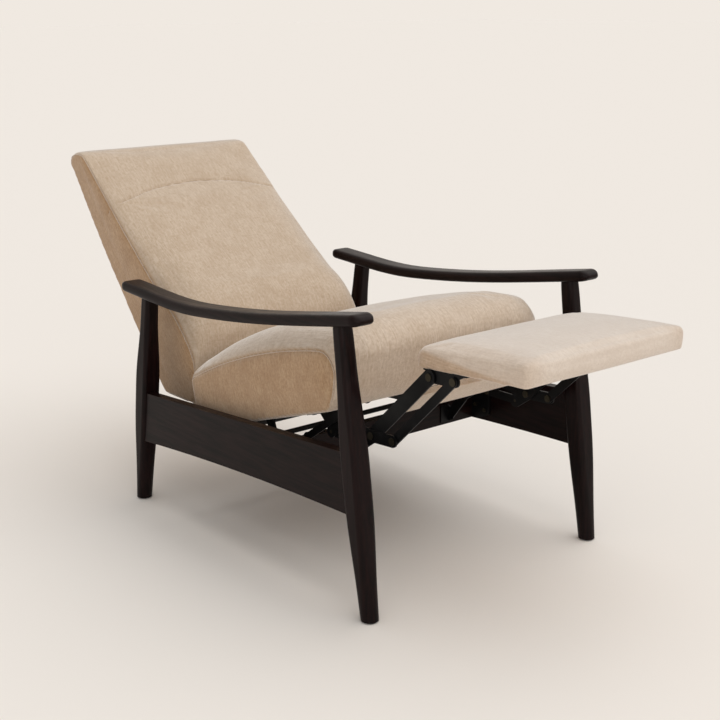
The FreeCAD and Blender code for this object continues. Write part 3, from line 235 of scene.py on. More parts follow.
def outline(steps, count=60):
    """Points of a closed outline of lines and arcs, and how far along it each lies."""
    runs, here = [], steps[0]
    for step in steps[1:]:
        there = step[-2:]
        is_arc = len(step) == 4
        run = arc(here, step[:2], there, count) if is_arc else np.linspace(here, there, count)
        runs.append(run[:-1])
        here = there
    loop = np.vstack(runs + [runs[0][:1]])
    reach = np.r_[0, np.cumsum(np.linalg.norm(np.diff(loop, axis=0), axis=1))]
    return loop, reach


def resampled(loop, reach, count):
    """The outline's places at an even share of its length."""
    share = np.linspace(0, reach[-1], count, endpoint=False)
    return np.c_[np.interp(share, reach, loop[:, 0]), np.interp(share, reach, loop[:, 1])]


def blended(first, second, share):
    """The outline's numbers between those at the side and those at the crown."""
    return {k: tuple(a + (b - a) * share for a, b in zip(first[k], second[k])) for k in first}


def crown_share(steps, half, x):
    """The share of the crown that is reached at x."""
    distance = half - abs(x)
    return float(np.interp(distance, [s for s, _ in steps] + [half], [t for _, t in steps] + [1.0]))


def seat_outline(share):
    """A section of the seat cushion that has reached a share of its crown."""
    p = blended(SEAT_SIDE, SEAT_CROWN, share)
    place = {k: seat_place(part * SEAT_DEPTH + beyond, rise) for k, (part, beyond, rise) in p.items()}
    (ny, nz), radius = place["nose"], p["nose_radius"][2]

    def nose(angle):
        t = math.radians(angle)
        return ny + radius * math.cos(t), nz + radius * math.sin(t)

    front, rear = seat_place(0, 0), seat_place(SEAT_DEPTH, 0)
    return outline([
        rear, place["rear_top"], place["rear_via"] + place["top_rear"], place["top_via"] + nose(NOSE_START),
        nose(NOSE_MIDDLE) + nose(NOSE_END), place["front_via"] + front, rear])


def back_outline(share):
    """A section of the back cushion that has reached a share of its crown."""
    p = {k: back_place(BACK_START + part * BACK_RUN + beyond, depth)
         for k, (part, beyond, depth) in blended(BACK_SIDE, BACK_CROWN, share).items()}
    return outline([
        p["rear_low"], p["rear_via"] + p["rear_high"], p["top_rear_via"] + p["top_rear"],
        p["top_via"] + p["top_front"], p["upper_via"] + p["lumbar"], p["belly_via"] + p["tuck"],
        p["lower_via"] + p["bottom_front"], p["bottom_rear"], p["bottom_via"] + p["rear_low"]])


def rest_outline(share, inset, corner):
    """A section of the footrest cushion: lower by inset, and corner back from its front and rear edges."""
    high, near, depth, edge = REST_THICK - inset, corner, REST_LENGTH - corner, REST_EDGE
    nip, spot = edge * (1 - math.sqrt(0.5)), rest_place
    return outline([
        spot(near, 0), spot(near, high - edge), spot(near + nip, high - nip) + spot(near + edge, high),
        spot(REST_LENGTH / 2, high + share * REST_CROWN) + spot(depth - edge, high),
        spot(depth - nip, high - nip) + spot(depth, high - edge), spot(depth, -REST_DROP), spot(near, 0)])


def rest_section(x):
    """The footrest cushion's section at x, with its low ends and the rounded corners of its plan."""
    distance = REST_HALF - abs(x)
    inset = REST_END_DROP * max(0.0, 1 - distance / REST_END_REACH) ** 2
    chord = math.sqrt(REST_CORNER ** 2 - max(0.0, REST_CORNER - distance) ** 2)
    return rest_outline(crown_share(REST_STEPS, REST_HALF, x), inset, REST_CORNER_SHARE * (REST_CORNER - chord))


def across(half, near, middle):
    """Places across the chair that are close together near the sides."""
    reach = half - middle
    even = list(np.linspace(-reach, reach, MIDDLE_COUNT))
    return [d - half for d in near] + even + [half - d for d in reversed(near)]


# Shaping

def placed(name, data):
    """A new object of the scene."""
    thing = bpy.data.objects.new(name, data)
    bpy.context.scene.collection.objects.link(thing)
    return thing


def faced_outward(mesh):
    """Turns the faces of a closed mesh outward."""
    work = bmesh.new()
    work.from_mesh(mesh)
    bmesh.ops.recalc_face_normals(work, faces=work.faces)
    work.to_mesh(mesh)
    work.free()
    mesh.update()


def loft(name, places, section, count):
    """A closed mesh through the sections at places across the chair."""
    points, faces = [], []
    for x in places:
        for y, z in resampled(*section(x), count):
            points.append(metres(x, y, z))
    for ring in range(len(places) - 1):
        for k in range(count):
            a, b = ring * count + k, ring * count + (k + 1) % count
            faces.append((a, b, b + count, a + count))
    faces.append(tuple(range(count - 1, -1, -1)))
    faces.append(tuple(range((len(places) - 1) * count, len(places) * count)))
    mesh = bpy.data.meshes.new(name)
    mesh.from_pydata(points, [], faces)
    faced_outward(mesh)
    return placed(name, mesh)


def applied(piece):
    """The piece with its modifiers applied."""
    graph = bpy.context.evaluated_depsgraph_get()
    made = bpy.data.meshes.new_from_object(piece.evaluated_get(graph), depsgraph=graph)
    old = piece.data
    piece.modifiers.clear()
    piece.data = made
    bpy.data.meshes.remove(old)
    return piece


def coordinates(mesh):
    """The places of a mesh's vertices."""
    co = np.empty(len(mesh.vertices) * 3)
    mesh.vertices.foreach_get("co", co)
    return co.reshape(-1, 3)


def normals(mesh):
    """The normals of a mesh's vertices."""
    no = np.empty(len(mesh.vertices) * 3)
    mesh.vertices.foreach_get("normal", no)
    return no.reshape(-1, 3)


def put(mesh, co):
    """Moves a mesh's vertices to new places."""
    mesh.vertices.foreach_set("co", co.astype(np.float32).ravel())
    mesh.update()


def cut_box(piece, left, right, low, high, place):
    """A box cut from the piece, from left to right and between two corners in a cushion's own directions."""
    corners = [metres(x, *place(a, r)) for x in (left, right)
               for a, r in (low, (high[0], low[1]), high, (low[0], high[1]))]
    faces = [(0, 1, 2, 3), (7, 6, 5, 4), (0, 4, 5, 1), (1, 5, 6, 2), (2, 6, 7, 3), (3, 7, 4, 0)]
    mesh = bpy.data.meshes.new("cutter")
    mesh.from_pydata(corners, [], faces)
    faced_outward(mesh)
    cutter = placed("cutter", mesh)
    tool = piece.modifiers.new("cut", "BOOLEAN")
    tool.operation, tool.object, tool.solver = "DIFFERENCE", cutter, "EXACT"
    applied(piece)
    bpy.data.objects.remove(cutter)


def remeshed(piece, voxel):
    """The piece with an even mesh."""
    tool = piece.modifiers.new("even", "REMESH")
    tool.mode, tool.voxel_size, tool.adaptivity = "VOXEL", voxel, 0.0
    return applied(piece)


def grouped(piece, name, weights):
    """A vertex group of the vertices that weigh more than nothing."""
    group = piece.vertex_groups.new(name=name)
    for index in np.flatnonzero(weights > 0.01):
        group.add([int(index)], float(weights[index]), "REPLACE")


def smoothed(piece, weights, turns):
    """Evens out the surface where the weights are high."""
    grouped(piece, "soft", weights)
    tool = piece.modifiers.new("soft", "SMOOTH")
    tool.factor, tool.iterations, tool.vertex_group = 0.5, turns, "soft"
    applied(piece)
    piece.vertex_groups.clear()


def softened(piece, factor, turns):
    """Evens out the whole surface."""
    tool = piece.modifiers.new("soft", "SMOOTH")
    tool.factor, tool.iterations = factor, turns
    return applied(piece)


def subdivided(piece):
    """The piece with each face in four."""
    tool = piece.modifiers.new("fine", "SUBSURF")
    tool.levels = tool.render_levels = 1
    return applied(piece)


def evened(line, turns):
    """Softens a line of points between its ends."""
    for _ in range(turns):
        line[1:-1] = (line[:-2] + 2 * line[1:-1] + line[2:]) / 4
    return line


def ease(value, low, high):
    """A smooth step from 0 at low to 1 at high."""
    t = np.clip((value - low) / (high - low), 0, 1)
    return t * t * (3 - 2 * t)


def within(co, along, rise, room):
    """1 for the points in a room that is open below, in a cushion's own directions, and 0 for the rest."""
    half, top, near, far = room
    return ((np.abs(co[:, 0]) < half) & (rise < top) & (along > near) & (along < far)).astype(float)


def seam_held(held, away):
    """The weights with the seams held too."""
    return np.maximum(held, SEAM_HOLD * np.exp(-(away / SEAM_HOLD_REACH) ** 2))


def swelled(piece, held, shrink, cap):
    """Cloth under pressure, from a start that is smaller by shrink.

    Vertices stay where held is 1. The way that is left is levelled, so that loose cloth starts from the
    given shape, rises by cap at most and slides only a little.
    """
    mesh = piece.data
    rest = coordinates(mesh)
    put(mesh, rest - normals(mesh) * shrink * (1 - held)[:, None])
    grouped(piece, "held", held)
    cloth = piece.modifiers.new("Cloth", "CLOTH")
    for key, value in CLOTH_SETTINGS.items():
        setattr(cloth.settings, key, value)
    cloth.settings.effector_weights.gravity = 0
    cloth.collision_settings.use_collision = False
    cloth.point_cache.frame_start, cloth.point_cache.frame_end = 1, CLOTH_FRAMES
    for number in range(1, CLOTH_FRAMES + 1):
        bpy.context.scene.frame_set(number)
    graph = bpy.context.evaluated_depsgraph_get()
    moved = coordinates(piece.evaluated_get(graph).data).copy()
    piece.modifiers.clear()
    piece.vertex_groups.clear()
    bpy.context.scene.frame_set(1)
    put(mesh, rest)
    out = normals(mesh)
    way = moved - rest
    lift = np.sum(way * out, axis=1)
    slide = way - lift[:, None] * out
    lift = lift - float(np.percentile(lift[held < LOOSE], LEVEL_PERCENT))
    lift = np.clip(lift * LIFT_SHARE, SINK, cap) * (1 - held)
    reach = np.linalg.norm(slide, axis=1)
    slide *= (np.minimum(reach * SLIDE_SHARE, SLIDE) / np.maximum(reach, 1e-9) * (1 - held))[:, None]
    put(mesh, rest + lift[:, None] * out + slide)


def tree_of(points):
    """A search tree over points."""
    tree = KDTree(len(points))
    for index, point in enumerate(points):
        tree.insert(point, index)
    tree.balance()
    return tree


def nearest_way(points, lines, count=12):
    """Distance from each point to the nearest of the polylines."""
    steps = [np.linspace(a, b, count, endpoint=False) for line in lines for a, b in zip(line[:-1], line[1:])]
    tree = tree_of(np.vstack(steps))
    return np.array([tree.find(p)[2] for p in points])


def soft_noise(points, scale, seed, waves=7):
    """Smooth made-up numbers from -1 to 1 at points, from a few sines in fixed directions."""
    rng = np.random.default_rng(seed)
    total = np.zeros(len(points))
    for _ in range(waves):
        direction = rng.normal(size=3)
        direction *= scale * rng.uniform(0.6, 1.5) / np.linalg.norm(direction)
        total += np.sin(points @ direction + rng.uniform(0, 6.28))
    return total / waves


def side_seams(half, section, keep):
    """The rim of a cushion at both of its flat sides, where keep says that it is sewn."""
    loop, _ = section
    return [np.array([metres(sign * half, y, z) for y, z in loop if keep(y, z)]) for sign in (-1, 1)]


def nap_of(co, panels, section, axes):
    """Across the chair and along the section on the face; the axes' own directions on the side panels."""
    loop, reach = section
    tree = tree_of(np.c_[np.zeros(len(loop)), (loop[:, 0] - SETBACK) * MM, loop[:, 1] * MM])
    along = np.array([reach[tree.find((0, p[1], p[2]))[1]] * MM for p in co])
    side = panels > 0.5
    u = np.where(side, co @ np.array(axes[0]), co[:, 0])
    v = np.where(side, co @ np.array(axes[1]), along)
    return np.c_[u, v, np.where(side, 0.3, 0.0)]


def marked(piece, seams, panels, section=None, axes=None):
    """Stores what the fabric and the seams read, and gives the way to the nearest seam."""
    mesh = piece.data
    co = coordinates(mesh)
    away = nearest_way(co, seams) if seams else np.full(len(co), 0.05)
    nap = co if section is None else nap_of(co, panels, section, axes)
    for name, kind, key, values in (
            ("nap", "FLOAT_VECTOR", "vector", nap), ("start", "FLOAT_VECTOR", "vector", co),
            ("seam", "FLOAT", "value", away), ("panel", "FLOAT", "value", panels)):
        attribute = mesh.attributes.new(name, kind, "POINT")
        attribute.data.foreach_set(key, values.astype(np.float32).ravel())
    return away


def stored(mesh, name, key, width):
    """What marked has stored under a name."""
    values = np.empty(len(mesh.vertices) * width, np.float32)
    mesh.attributes[name].data.foreach_get(key, values)
    return values.reshape(-1, width) if width > 1 else values


def dressed(piece, material):
    """Shades the piece smoothly in one material."""
    for face in piece.data.polygons:
        face.use_smooth = True
    piece.data.materials.clear()
    piece.data.materials.append(material)


def finished(piece, ripple, material):
    """Seams drawn in, soft unevenness and the fabric."""
    mesh = piece.data
    co, no = coordinates(mesh), normals(mesh)
    away = stored(mesh, "seam", "value", 1)
    groove = -GROOVE_DEPTH * np.exp(-(away / GROOVE_REACH) ** 2)
    pucker = soft_noise(co, 150, 3) * PUCKER_DEPTH * np.exp(-((away - PUCKER_REACH) / PUCKER_REACH) ** 2)
    swell = ripple * soft_noise(co, 28, 5) + 0.4 * ripple * soft_noise(co, 75, 9)
    put(mesh, co + no * (groove + pucker + swell)[:, None])
    dressed(piece, material)


def welt(name, cover, seams, body):
    """A thin rounded edge along each seam, laid on the cover's final surface."""
    mesh = cover.data
    start, now, out = stored(mesh, "start", "vector", 3), coordinates(mesh), normals(mesh)
    tree = tree_of(start)
    curve = bpy.data.curves.new(name, "CURVE")
    curve.dimensions, curve.bevel_depth, curve.bevel_resolution = "3D", WELT_RADIUS, 2
    for seam in seams:
        picked = []
        for point in seam[::2]:
            near = [index for _, index, _ in tree.find_n(point, 6)]
            picked.append(np.mean(now[near], axis=0) + np.mean(out[near], axis=0) * WELT_RADIUS * 0.5)
        line = evened(np.array(picked), 4)
        spline = curve.splines.new("POLY")
        spline.points.add(len(line) - 1)
        for knot, point in zip(spline.points, line):
            knot.co = (*point, 1.0)
    thing = placed(name, curve)
    curve.materials.append(FABRIC_PLAIN)
    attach(thing, body)


# Materials

def colour(red, green, blue):
    """A colour as it is seen, 0 to 255, as the shader's own numbers."""
    shares = (red / 255, green / 255, blue / 255)
    return (*(c / 12.92 if c <= 0.04045 else ((c + 0.055) / 1.055) ** 2.4 for c in shares), 1.0)


class Graph:
    """Short names for building a material's nodes."""

    def __init__(self, name):
        self.material = bpy.data.materials.new(name)
        self.material.use_nodes = True
        self.tree = self.material.node_tree
        self.shader = self.tree.nodes["Principled BSDF"]

    def feed(self, node, inputs):
        """Sets or links a node's inputs, by their names or numbers."""
        for key, value in inputs.items():
            if isinstance(value, bpy.types.NodeSocket):
                self.tree.links.new(value, node.inputs[key])
            else:
                node.inputs[key].default_value = value

    def add(self, kind, settings, inputs):
        """A new node."""
        node = self.tree.nodes.new("ShaderNode" + kind)
        for key, value in settings.items():
            setattr(node, key, value)
        self.feed(node, inputs)
        return node

    def shade(self, inputs):
        """Sets or links the shader's own inputs, and gives the material."""
        self.feed(self.shader, inputs)
        return self.material

    def math(self, operation, first, second):
        return self.add("Math", {"operation": operation}, {0: first, 1: second}).outputs[0]

    def share(self, value, factor):
        return self.math("MULTIPLY", value, factor)

    def span(self, value, low, high, to_low=0.0, to_high=1.0):
        """A smooth step from to_low at low to to_high at high."""
        return self.add("MapRange", {"interpolation_type": "SMOOTHSTEP"}, {
            "Value": value, "From Min": low, "From Max": high, "To Min": to_low, "To Max": to_high,
        }).outputs["Result"]

    def mix(self, share, first, second, blend="MIX"):
        settings = {"data_type": "RGBA", "blend_type": blend}
        return self.add("Mix", settings, {0: share, 6: first, 7: second}).outputs[2]

    def noise(self, where, scale, detail, rough, stretch=None):
        if stretch:
            where = self.add("Mapping", {}, {"Vector": where, "Scale": stretch}).outputs[0]
        inputs = {"Vector": where, "Scale": scale, "Detail": detail, "Roughness": rough}
        return self.add("TexNoise", {}, inputs).outputs["Fac"]

    def bump(self, height, distance, strength, under=None):
        """The normal of a height, over that of another bump."""
        inputs = {"Height": height, "Distance": distance, "Strength": strength}
        if under is not None:
            inputs["Normal"] = under
        return self.add("Bump", {}, inputs).outputs[0]

    def attribute(self, name, output):
        return self.add("Attribute", {"attribute_name": name}, {}).outputs[output]

    def place(self):
        return self.add("TexCoord", {}, {}).outputs["Object"]


def fabric(name, with_attributes=True, painted_sheen_share=0.0, tint=None):
    """Mottled chenille.

    Soft clouds and a fine speckled pile with short streaks along the nap, darker and warmer on the side panels as
    painted shade with warm bounce light.
    A share of pale painted sheen lightens it, as on the footrest, a darker line of painted shade follows the
    seams, and a tint of painted shade deepens it, as on the back.
    """
    g = Graph(name)
    where = g.attribute("nap", "Vector") if with_attributes else g.place()
    cloud = g.noise(where, 16.0, 3.0, 0.6)
    patch = g.noise(where, 150.0, 4.0, 0.66)
    streak = g.noise(where, 1.0, 3.0, 0.6, stretch=(400.0, 34.0, 300.0))
    tuft = g.noise(where, 900.0, 2.0, 0.6)

    def woven(weave):
        low, high, pale, deep = (colour(*c) for c in weave)
        tone = g.mix(g.span(patch, 0.34, 0.68), low, high)
        tone = g.mix(g.share(g.span(streak, 0.44, 0.72), 0.52), tone, pale)
        tone = g.mix(g.share(g.span(streak, 0.28, 0.47, 1.0, 0.0), 0.50), tone, deep)
        return g.mix(g.share(g.span(cloud, 0.42, 0.66), 0.24), tone, deep)

    base = woven(FACE_WEAVE)
    # Painted sheen: a share of a pale colour lightens the fabric.
    if painted_sheen_share:
        base = g.mix(painted_sheen_share, base, colour(*PAINTED_SHEEN_COLOUR))
    if with_attributes:
        # Painted shade with warm bounce light: the panel mix takes the darker, warmer panel colours.
        base = g.mix(g.share(g.attribute("panel", "Fac"), 0.95), base, woven(PANEL_SHADE_WEAVE))
        # Painted shade: a darker line along each seam, where its groove lies.
        line = g.span(g.attribute("seam", "Fac"), 0.0005, 0.0018, 1.0, 0.0)
        base = g.mix(g.share(line, 0.55), base, colour(*SEAM_SHADE))
    # Painted shade: the tint darkens the whole fabric.
    if tint:
        base = g.mix(1.0, base, tint, blend="MULTIPLY")
    height = g.math("ADD", g.share(tuft, 0.5), g.share(streak, 0.5))
    pile = g.bump(height, 0.0012, 0.5)
    return g.shade({
        "Base Color": base, "Roughness": 0.92, "Normal": g.bump(patch, 0.0016, 0.35, pile),
        "Sheen Weight": 0.9, "Sheen Roughness": 0.4, "Sheen Tint": (1.0, 0.97, 0.94, 1.0),
        "Specular IOR Level": 0.12})


def dark_wood(name, stretch):
    """Espresso stain over a fine straight grain, with a satin coat."""
    g = Graph(name)
    where = g.place()
    grain = g.noise(where, 1.0, 5.0, 0.65, stretch=stretch)
    broad = g.noise(where, 7.0, 2.0, 0.5)
    base = g.mix(g.span(grain, 0.34, 0.68), colour(*ESPRESSO_DEEP), colour(*ESPRESSO))
    base = g.mix(g.share(g.span(broad, 0.40, 0.70), 0.35), base, colour(*ESPRESSO_WARM))
    return g.shade({
        "Base Color": base, "Roughness": g.span(grain, 0.3, 0.7, 0.42, 0.32),
        "Normal": g.bump(grain, 0.0004, 0.25), "Coat Weight": 0.10, "Coat Roughness": 0.12,
        "Specular IOR Level": 0.06})


def steel(name, tint, rough, metallic):
    """Painted steel with a faintly uneven coat and rubbed spots."""
    g = Graph(name)
    where = g.place()
    speck = g.noise(where, 420.0, 3.0, 0.6)
    rub = g.noise(where, 38.0, 4.0, 0.65)
    rubbed = tuple(min(1, c * 2.6 + 0.012) for c in tint[:3]) + (1,)
    return g.shade({
        "Base Color": g.mix(g.share(g.span(rub, 0.55, 0.78), 0.5), tint, rubbed), "Metallic": metallic,
        "Roughness": g.span(rub, 0.3, 0.75, rough, rough + 0.16), "Normal": g.bump(speck, 0.0002, 0.3),
        "Specular IOR Level": 0.16})


def pale_wood(name):
    """Plain sawn frame wood."""
    g = Graph(name)
    grain = g.noise(g.place(), 1.0, 5.0, 0.65, stretch=(14.0, 14.0, 240.0))
    return g.shade({
        "Base Color": g.mix(g.span(grain, 0.35, 0.68), colour(*SAWN_DEEP), colour(*SAWN_PALE)),
        "Roughness": 0.72, "Normal": g.bump(grain, 0.0005, 0.4)})


def strap(name):
    """Black woven webbing."""
    g = Graph(name)
    where = g.place()
    first, second = (
        g.add("TexWave", {"wave_type": "BANDS", "bands_direction": way}, {"Vector": where, "Scale": 130.0})
        for way in "XY")
    weave = g.share(first.outputs["Fac"], second.outputs["Fac"])
    return g.shade({
        "Base Color": g.mix(g.span(weave, 0.1, 0.7), colour(*STRAP_DEEP), colour(*STRAP_PALE)),
        "Roughness": 0.85, "Normal": g.bump(weave, 0.0008, 0.6)})


def plastic(name, tint):
    """Moulded nylon with a fine speckle."""
    g = Graph(name)
    speck = g.noise(g.place(), 600.0, 2.0, 0.5)
    return g.shade({
        "Base Color": g.mix(g.span(speck, 0.35, 0.7), tint, tuple(c * 1.7 for c in tint[:3]) + (1,)),
        "Roughness": 0.55, "Normal": g.bump(speck, 0.0002, 0.4)})


FABRIC = fabric("chenille")
# The footrest's fabric, with a pale painted sheen.
FABRIC_PALE = fabric("chenille_pale", painted_sheen_share=0.38)
# The back's fabric, darkened by painted shade.
FABRIC_DEEP = fabric("chenille_deep", tint=BACK_PAINTED_SHADE)
FABRIC_PLAIN = fabric("chenille_plain", with_attributes=False)
WOOD_UP = dark_wood("espresso_upright", (150.0, 150.0, 9.0))
WOOD_LONG = dark_wood("espresso_long", (150.0, 9.0, 150.0))
WOOD_ACROSS = dark_wood("espresso_across", (9.0, 150.0, 150.0))
STEEL = steel("black_steel", (0.0035, 0.0035, 0.004, 1.0), 0.34, 0.0)
RIVET = steel("rivet_steel", (0.05, 0.043, 0.030, 1.0), 0.38, 0.8)
TUBE = steel("tube_steel", (0.02, 0.02, 0.021, 1.0), 0.34, 0.3)
SAWN = pale_wood("sawn_wood")
STRAP = strap("webbing_black")
GLIDE = plastic("glide_nylon", (0.05, 0.045, 0.04, 1.0))

# The first row with a word that ends a CAD piece's name gives its material. The rest is black steel.
CAD_MATERIALS = (
    (WOOD_UP, ("_leg",)),
    (WOOD_LONG, ("_arm", "side_rail")),
    (WOOD_ACROSS, ("cross_member", "rear_stretcher")),
    (RIVET, ("rivets", "screws")),
    (STRAP, ("webbing",)),
    (GLIDE, ("foot_glides",)),
    (TUBE, ("guide_rod", "rear_pivot_tube")),
    (FABRIC_PLAIN, ("rear_panel", "bridge_panel", "cushion")),
    (SAWN, ("post", "seat_rail", "front_rail", "rear_rail", "top_rail", "bottom_rail", "board", "dowels")),
)

for name, node in nodes.items():
    material = next((m for m, ends in CAD_MATERIALS if name.endswith(ends)), STEEL)
    if not node.data.materials:
        node.data.materials.append(material)
    for slot in node.material_slots:
        slot.material = material


# Cushions

def make_seat_cushion():
    """The seat's cover: a crowned cushion with a rolled front, open below for its frame and the links."""
    piece = loft("seat_cushion_cover", across(SEAT_HALF, SECTIONS, SECTIONS_MIDDLE),
                 lambda x: seat_outline(crown_share(SEAT_STEPS, SEAT_HALF, x)), SEAT_POINTS)
    half, low, high = SEAT_HOLLOW
    cut_box(piece, -half, half, low, high, seat_place)
    for x in LINK_RELIEF_EDGES:
        cut_box(piece, x, x + LINK_RELIEF_WIDE, *LINK_RELIEF, seat_place)
    remeshed(piece, CUSHION_VOXEL)

    t = math.radians(SEAT_LEAN)
    axes = ((0, math.cos(t), -math.sin(t)), (0, math.sin(t), math.cos(t)))
    co = coordinates(piece.data)
    along, rise = in_seat(co)
    inward = SEAT_HALF * MM - np.abs(co[:, 0])
    forward = NOSE_FORWARD * ease(rise, *NOSE_RISE) * (1 - ease(along, *NOSE_ALONG)) * ease(inward, *NOSE_INWARD)
    put(piece.data, co - forward[:, None] * np.array(axes[0]))
    co = coordinates(piece.data)
    along, rise = in_seat(co)

    def sewn(y, z):
        return in_seat(np.array([metres(0, y, z)]))[1][0] > SEWN_RISE

    seams = side_seams(SEAT_HALF, seat_outline(0), sewn)
    # The side panels, which the fabric darkens and warms as painted shade.
    panels = ease(np.abs(co[:, 0]), (SEAT_HALF - PANEL_EDGE) * MM, (SEAT_HALF - PANEL_FULL) * MM)
    away = marked(piece, seams, panels, seat_outline(NAP_SHARE), axes)
    held = np.maximum(1 - ease(rise, *SEAT_FREE), within(co, along, rise, SEAT_ROOM))
    held = np.maximum(held, (1 - ease(rise, *LINKS_RISE)) * (1 - ease(along, *LINKS_ALONG)))
    face_cap = SEAT_FACE_CAP + SEAT_NOSE_CAP * (1 - ease(along, *NOSE_CAP_ALONG))
    swelled(piece, seam_held(held, away), CUSHION_SHRINK, np.where(panels > 0.5, SEAT_PANEL_CAP, face_cap))
    subdivided(piece)
    finished(piece, SEAT_RIPPLE, FABRIC)
    welt("seat_cushion_welt", piece, seams, "seat")
    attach(piece, "seat")
    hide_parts("seat_cushion")


def head_seam(co, along, depth):
    """The seam below the head, laid on the back's front face."""
    front = depth > HEAD_SEAM_DEPTH
    tree = tree_of(np.c_[co[front, 0], along[front], np.zeros(int(front.sum()))])
    xs = np.linspace(-HEAD_SEAM_REACH, HEAD_SEAM_REACH, HEAD_SEAM_POINTS)
    ways = np.interp(xs, [x * MM for x, _ in HEAD_SEAM], [a * MM for _, a in HEAD_SEAM])
    return evened(np.array([co[front][tree.find((x, a, 0))[1]] for x, a in zip(xs, ways)]), 3)


def make_back_cushion():
    """The back's cover: a crowned face with a lumbar swell, a seam below the head and flat sides."""
    piece = loft("back_cushion_cover", across(BACK_HALF, SECTIONS, SECTIONS_MIDDLE),
                 lambda x: back_outline(crown_share(BACK_STEPS, BACK_HALF, x)), BACK_POINTS)
    remeshed(piece, CUSHION_VOXEL)
    co = coordinates(piece.data)
    along, depth = in_back(co)
    inward = BACK_HALF * MM - np.abs(co[:, 0])
    front = ease(depth, *BACK_FRONT) * ease(along, *BACK_ALONG) * ease(inward, *BACK_INWARD)
    smoothed(piece, front, BACK_SMOOTHING)
    co = coordinates(piece.data)
    along, depth = in_back(co)

    def sewn(y, z):
        reach, deep = in_back(np.array([metres(0, y, z)]))
        return deep[0] > SEWN_RISE and reach[0] > SEWN_ALONG

    sides = side_seams(BACK_HALF, back_outline(0), sewn)
    t = math.radians(BACK_SLOPE)
    axes = ((0, -math.sin(t), math.cos(t)), (0, math.cos(t), math.sin(t)))
    # The side panels, which the fabric darkens and warms as painted shade.
    panels = ease(np.abs(co[:, 0]), (BACK_HALF - PANEL_EDGE) * MM, (BACK_HALF - PANEL_FULL) * MM)
    away = marked(piece, sides + [head_seam(co, along, depth)], panels, back_outline(NAP_SHARE), axes)
    held = np.maximum(1 - ease(depth, *BACK_FREE), 1 - ease(co[:, 2], *BACK_FREE_HEIGHT))
    swelled(piece, seam_held(held, away), CUSHION_SHRINK, np.where(panels > 0.5, BACK_PANEL_CAP, BACK_FACE_CAP))
    subdivided(piece)
    finished(piece, BACK_RIPPLE, FABRIC_DEEP)
    welt("back_cushion_welt", piece, sides, "back")
    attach(piece, "back")
    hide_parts("back_cushion")


def make_rest_cushion():
    """The footrest's cover: a low crowned slab with soft edges, open below for its board."""
    places = across(REST_HALF, REST_SECTIONS, REST_SECTIONS_MIDDLE)
    piece = loft("footrest_cushion_cover", places, rest_section, REST_POINTS)
    half, low, high = REST_HOLLOW
    cut_box(piece, -half, half, low, high, rest_place)
    remeshed(piece, REST_VOXEL)
    _, rise = in_rest(coordinates(piece.data))
    smoothed(piece, ease(rise, *REST_TOP), REST_SMOOTHING)
    co = coordinates(piece.data)
    forward, rise = in_rest(co)
    out = np.abs(co[:, 0])
    # Painted shade: darker, warmer ends below the top, and a share toward the sides, stored as the panel mix.
    ends = REST_END_SHADE * ease(out, (REST_HALF - REST_END_SHADE_EDGE) * MM, REST_HALF * MM)
    low_end_shade = ends * (1 - ease(rise, *REST_END_RISE))
    side_shade = REST_SIDE_SHADE * ease(out, *((REST_HALF - edge) * MM for edge in REST_SIDE_SHADE_EDGES))
    marked(piece, [], np.maximum(low_end_shade, side_shade))
    held = np.maximum(1 - ease(rise, *REST_FREE), within(co, forward, rise, REST_ROOM))
    swelled(piece, held, REST_SHRINK, REST_CAP)
    subdivided(piece)
    finished(piece, REST_RIPPLE, FABRIC_PALE)
    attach(piece, "footrest")
    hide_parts("footrest_cushion")


def copy_of(name, cover):
    """A mesh of the same shape as a CAD piece, in the model's own directions."""
    node = nodes[name]
    mesh = node.data.copy()
    mesh.transform(node.matrix_world)
    mesh.materials.clear()
    return placed(cover, mesh)


def make_bridge_cover():
    """The upholstered panel between the upper links, with softened edges."""
    piece = softened(remeshed(copy_of("bridge_panel", "bridge_panel_cover"), BRIDGE_VOXEL), 0.6, 6)
    marked(piece, [], np.zeros(len(piece.data.vertices)))
    finished(piece, BRIDGE_RIPPLE, FABRIC)
    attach(piece, "upper_links")
    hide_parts("bridge_panel")


# Arms

def rounded_end(co, sign, reach, longer):
    """Draws one end of a bar along Y into a blunt nose and lengthens it a little."""
    way = co[:, 1] * sign
    tip = way.max()
    share = np.clip((way - tip + reach) / reach, 0, 1)
    middles = []
    for inside in (1.2, 2.4):
        ring = np.abs(way - (tip - inside * reach)) < 0.004
        middles.append((co[ring, 2].max() + co[ring, 2].min()) / 2)
    slope = (middles[0] - middles[1]) / (1.2 * reach)
    middle = middles[0] + slope * (way - (tip - 1.2 * reach))
    centre = (co[:, 0].max() + co[:, 0].min()) / 2
    nose = np.sqrt(1 - (0.93 * share) ** 2)
    co[:, 2] = middle + (co[:, 2] - middle) * (0.2 + 0.8 * nose)
    co[:, 0] = centre + (co[:, 0] - centre) * (1 - 0.10 * share ** 2)
    co[:, 1] += sign * longer * share
    return co


def make_arm(side):
    """The CAD arm with blunt ends and the softly rounded edges of sanded wood."""
    piece = remeshed(copy_of(side + "_arm", side + "_arm_wood"), ARM_VOXEL)
    co = rounded_end(coordinates(piece.data), -1, ARM_NOSE, ARM_LONGER_FRONT)
    put(piece.data, rounded_end(co, 1, ARM_NOSE, ARM_LONGER_REAR))
    softened(piece, 0.5, 14)
    dressed(piece, WOOD_LONG)
    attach(piece, "base")
    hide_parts(side + "_arm")


# Stage, light and camera

def make_stage():
    """A plain floor."""
    half = FLOOR_HALF
    mesh = bpy.data.meshes.new("floor")
    mesh.from_pydata([(-half, -half, 0), (half, -half, 0), (half, half, 0), (-half, half, 0)], [], [(0, 1, 2, 3)])
    mesh.materials.append(Graph("floor_paint").shade({
        "Base Color": colour(*PAPER), "Roughness": 1.0, "Specular IOR Level": 0.0}))
    placed("floor", mesh)


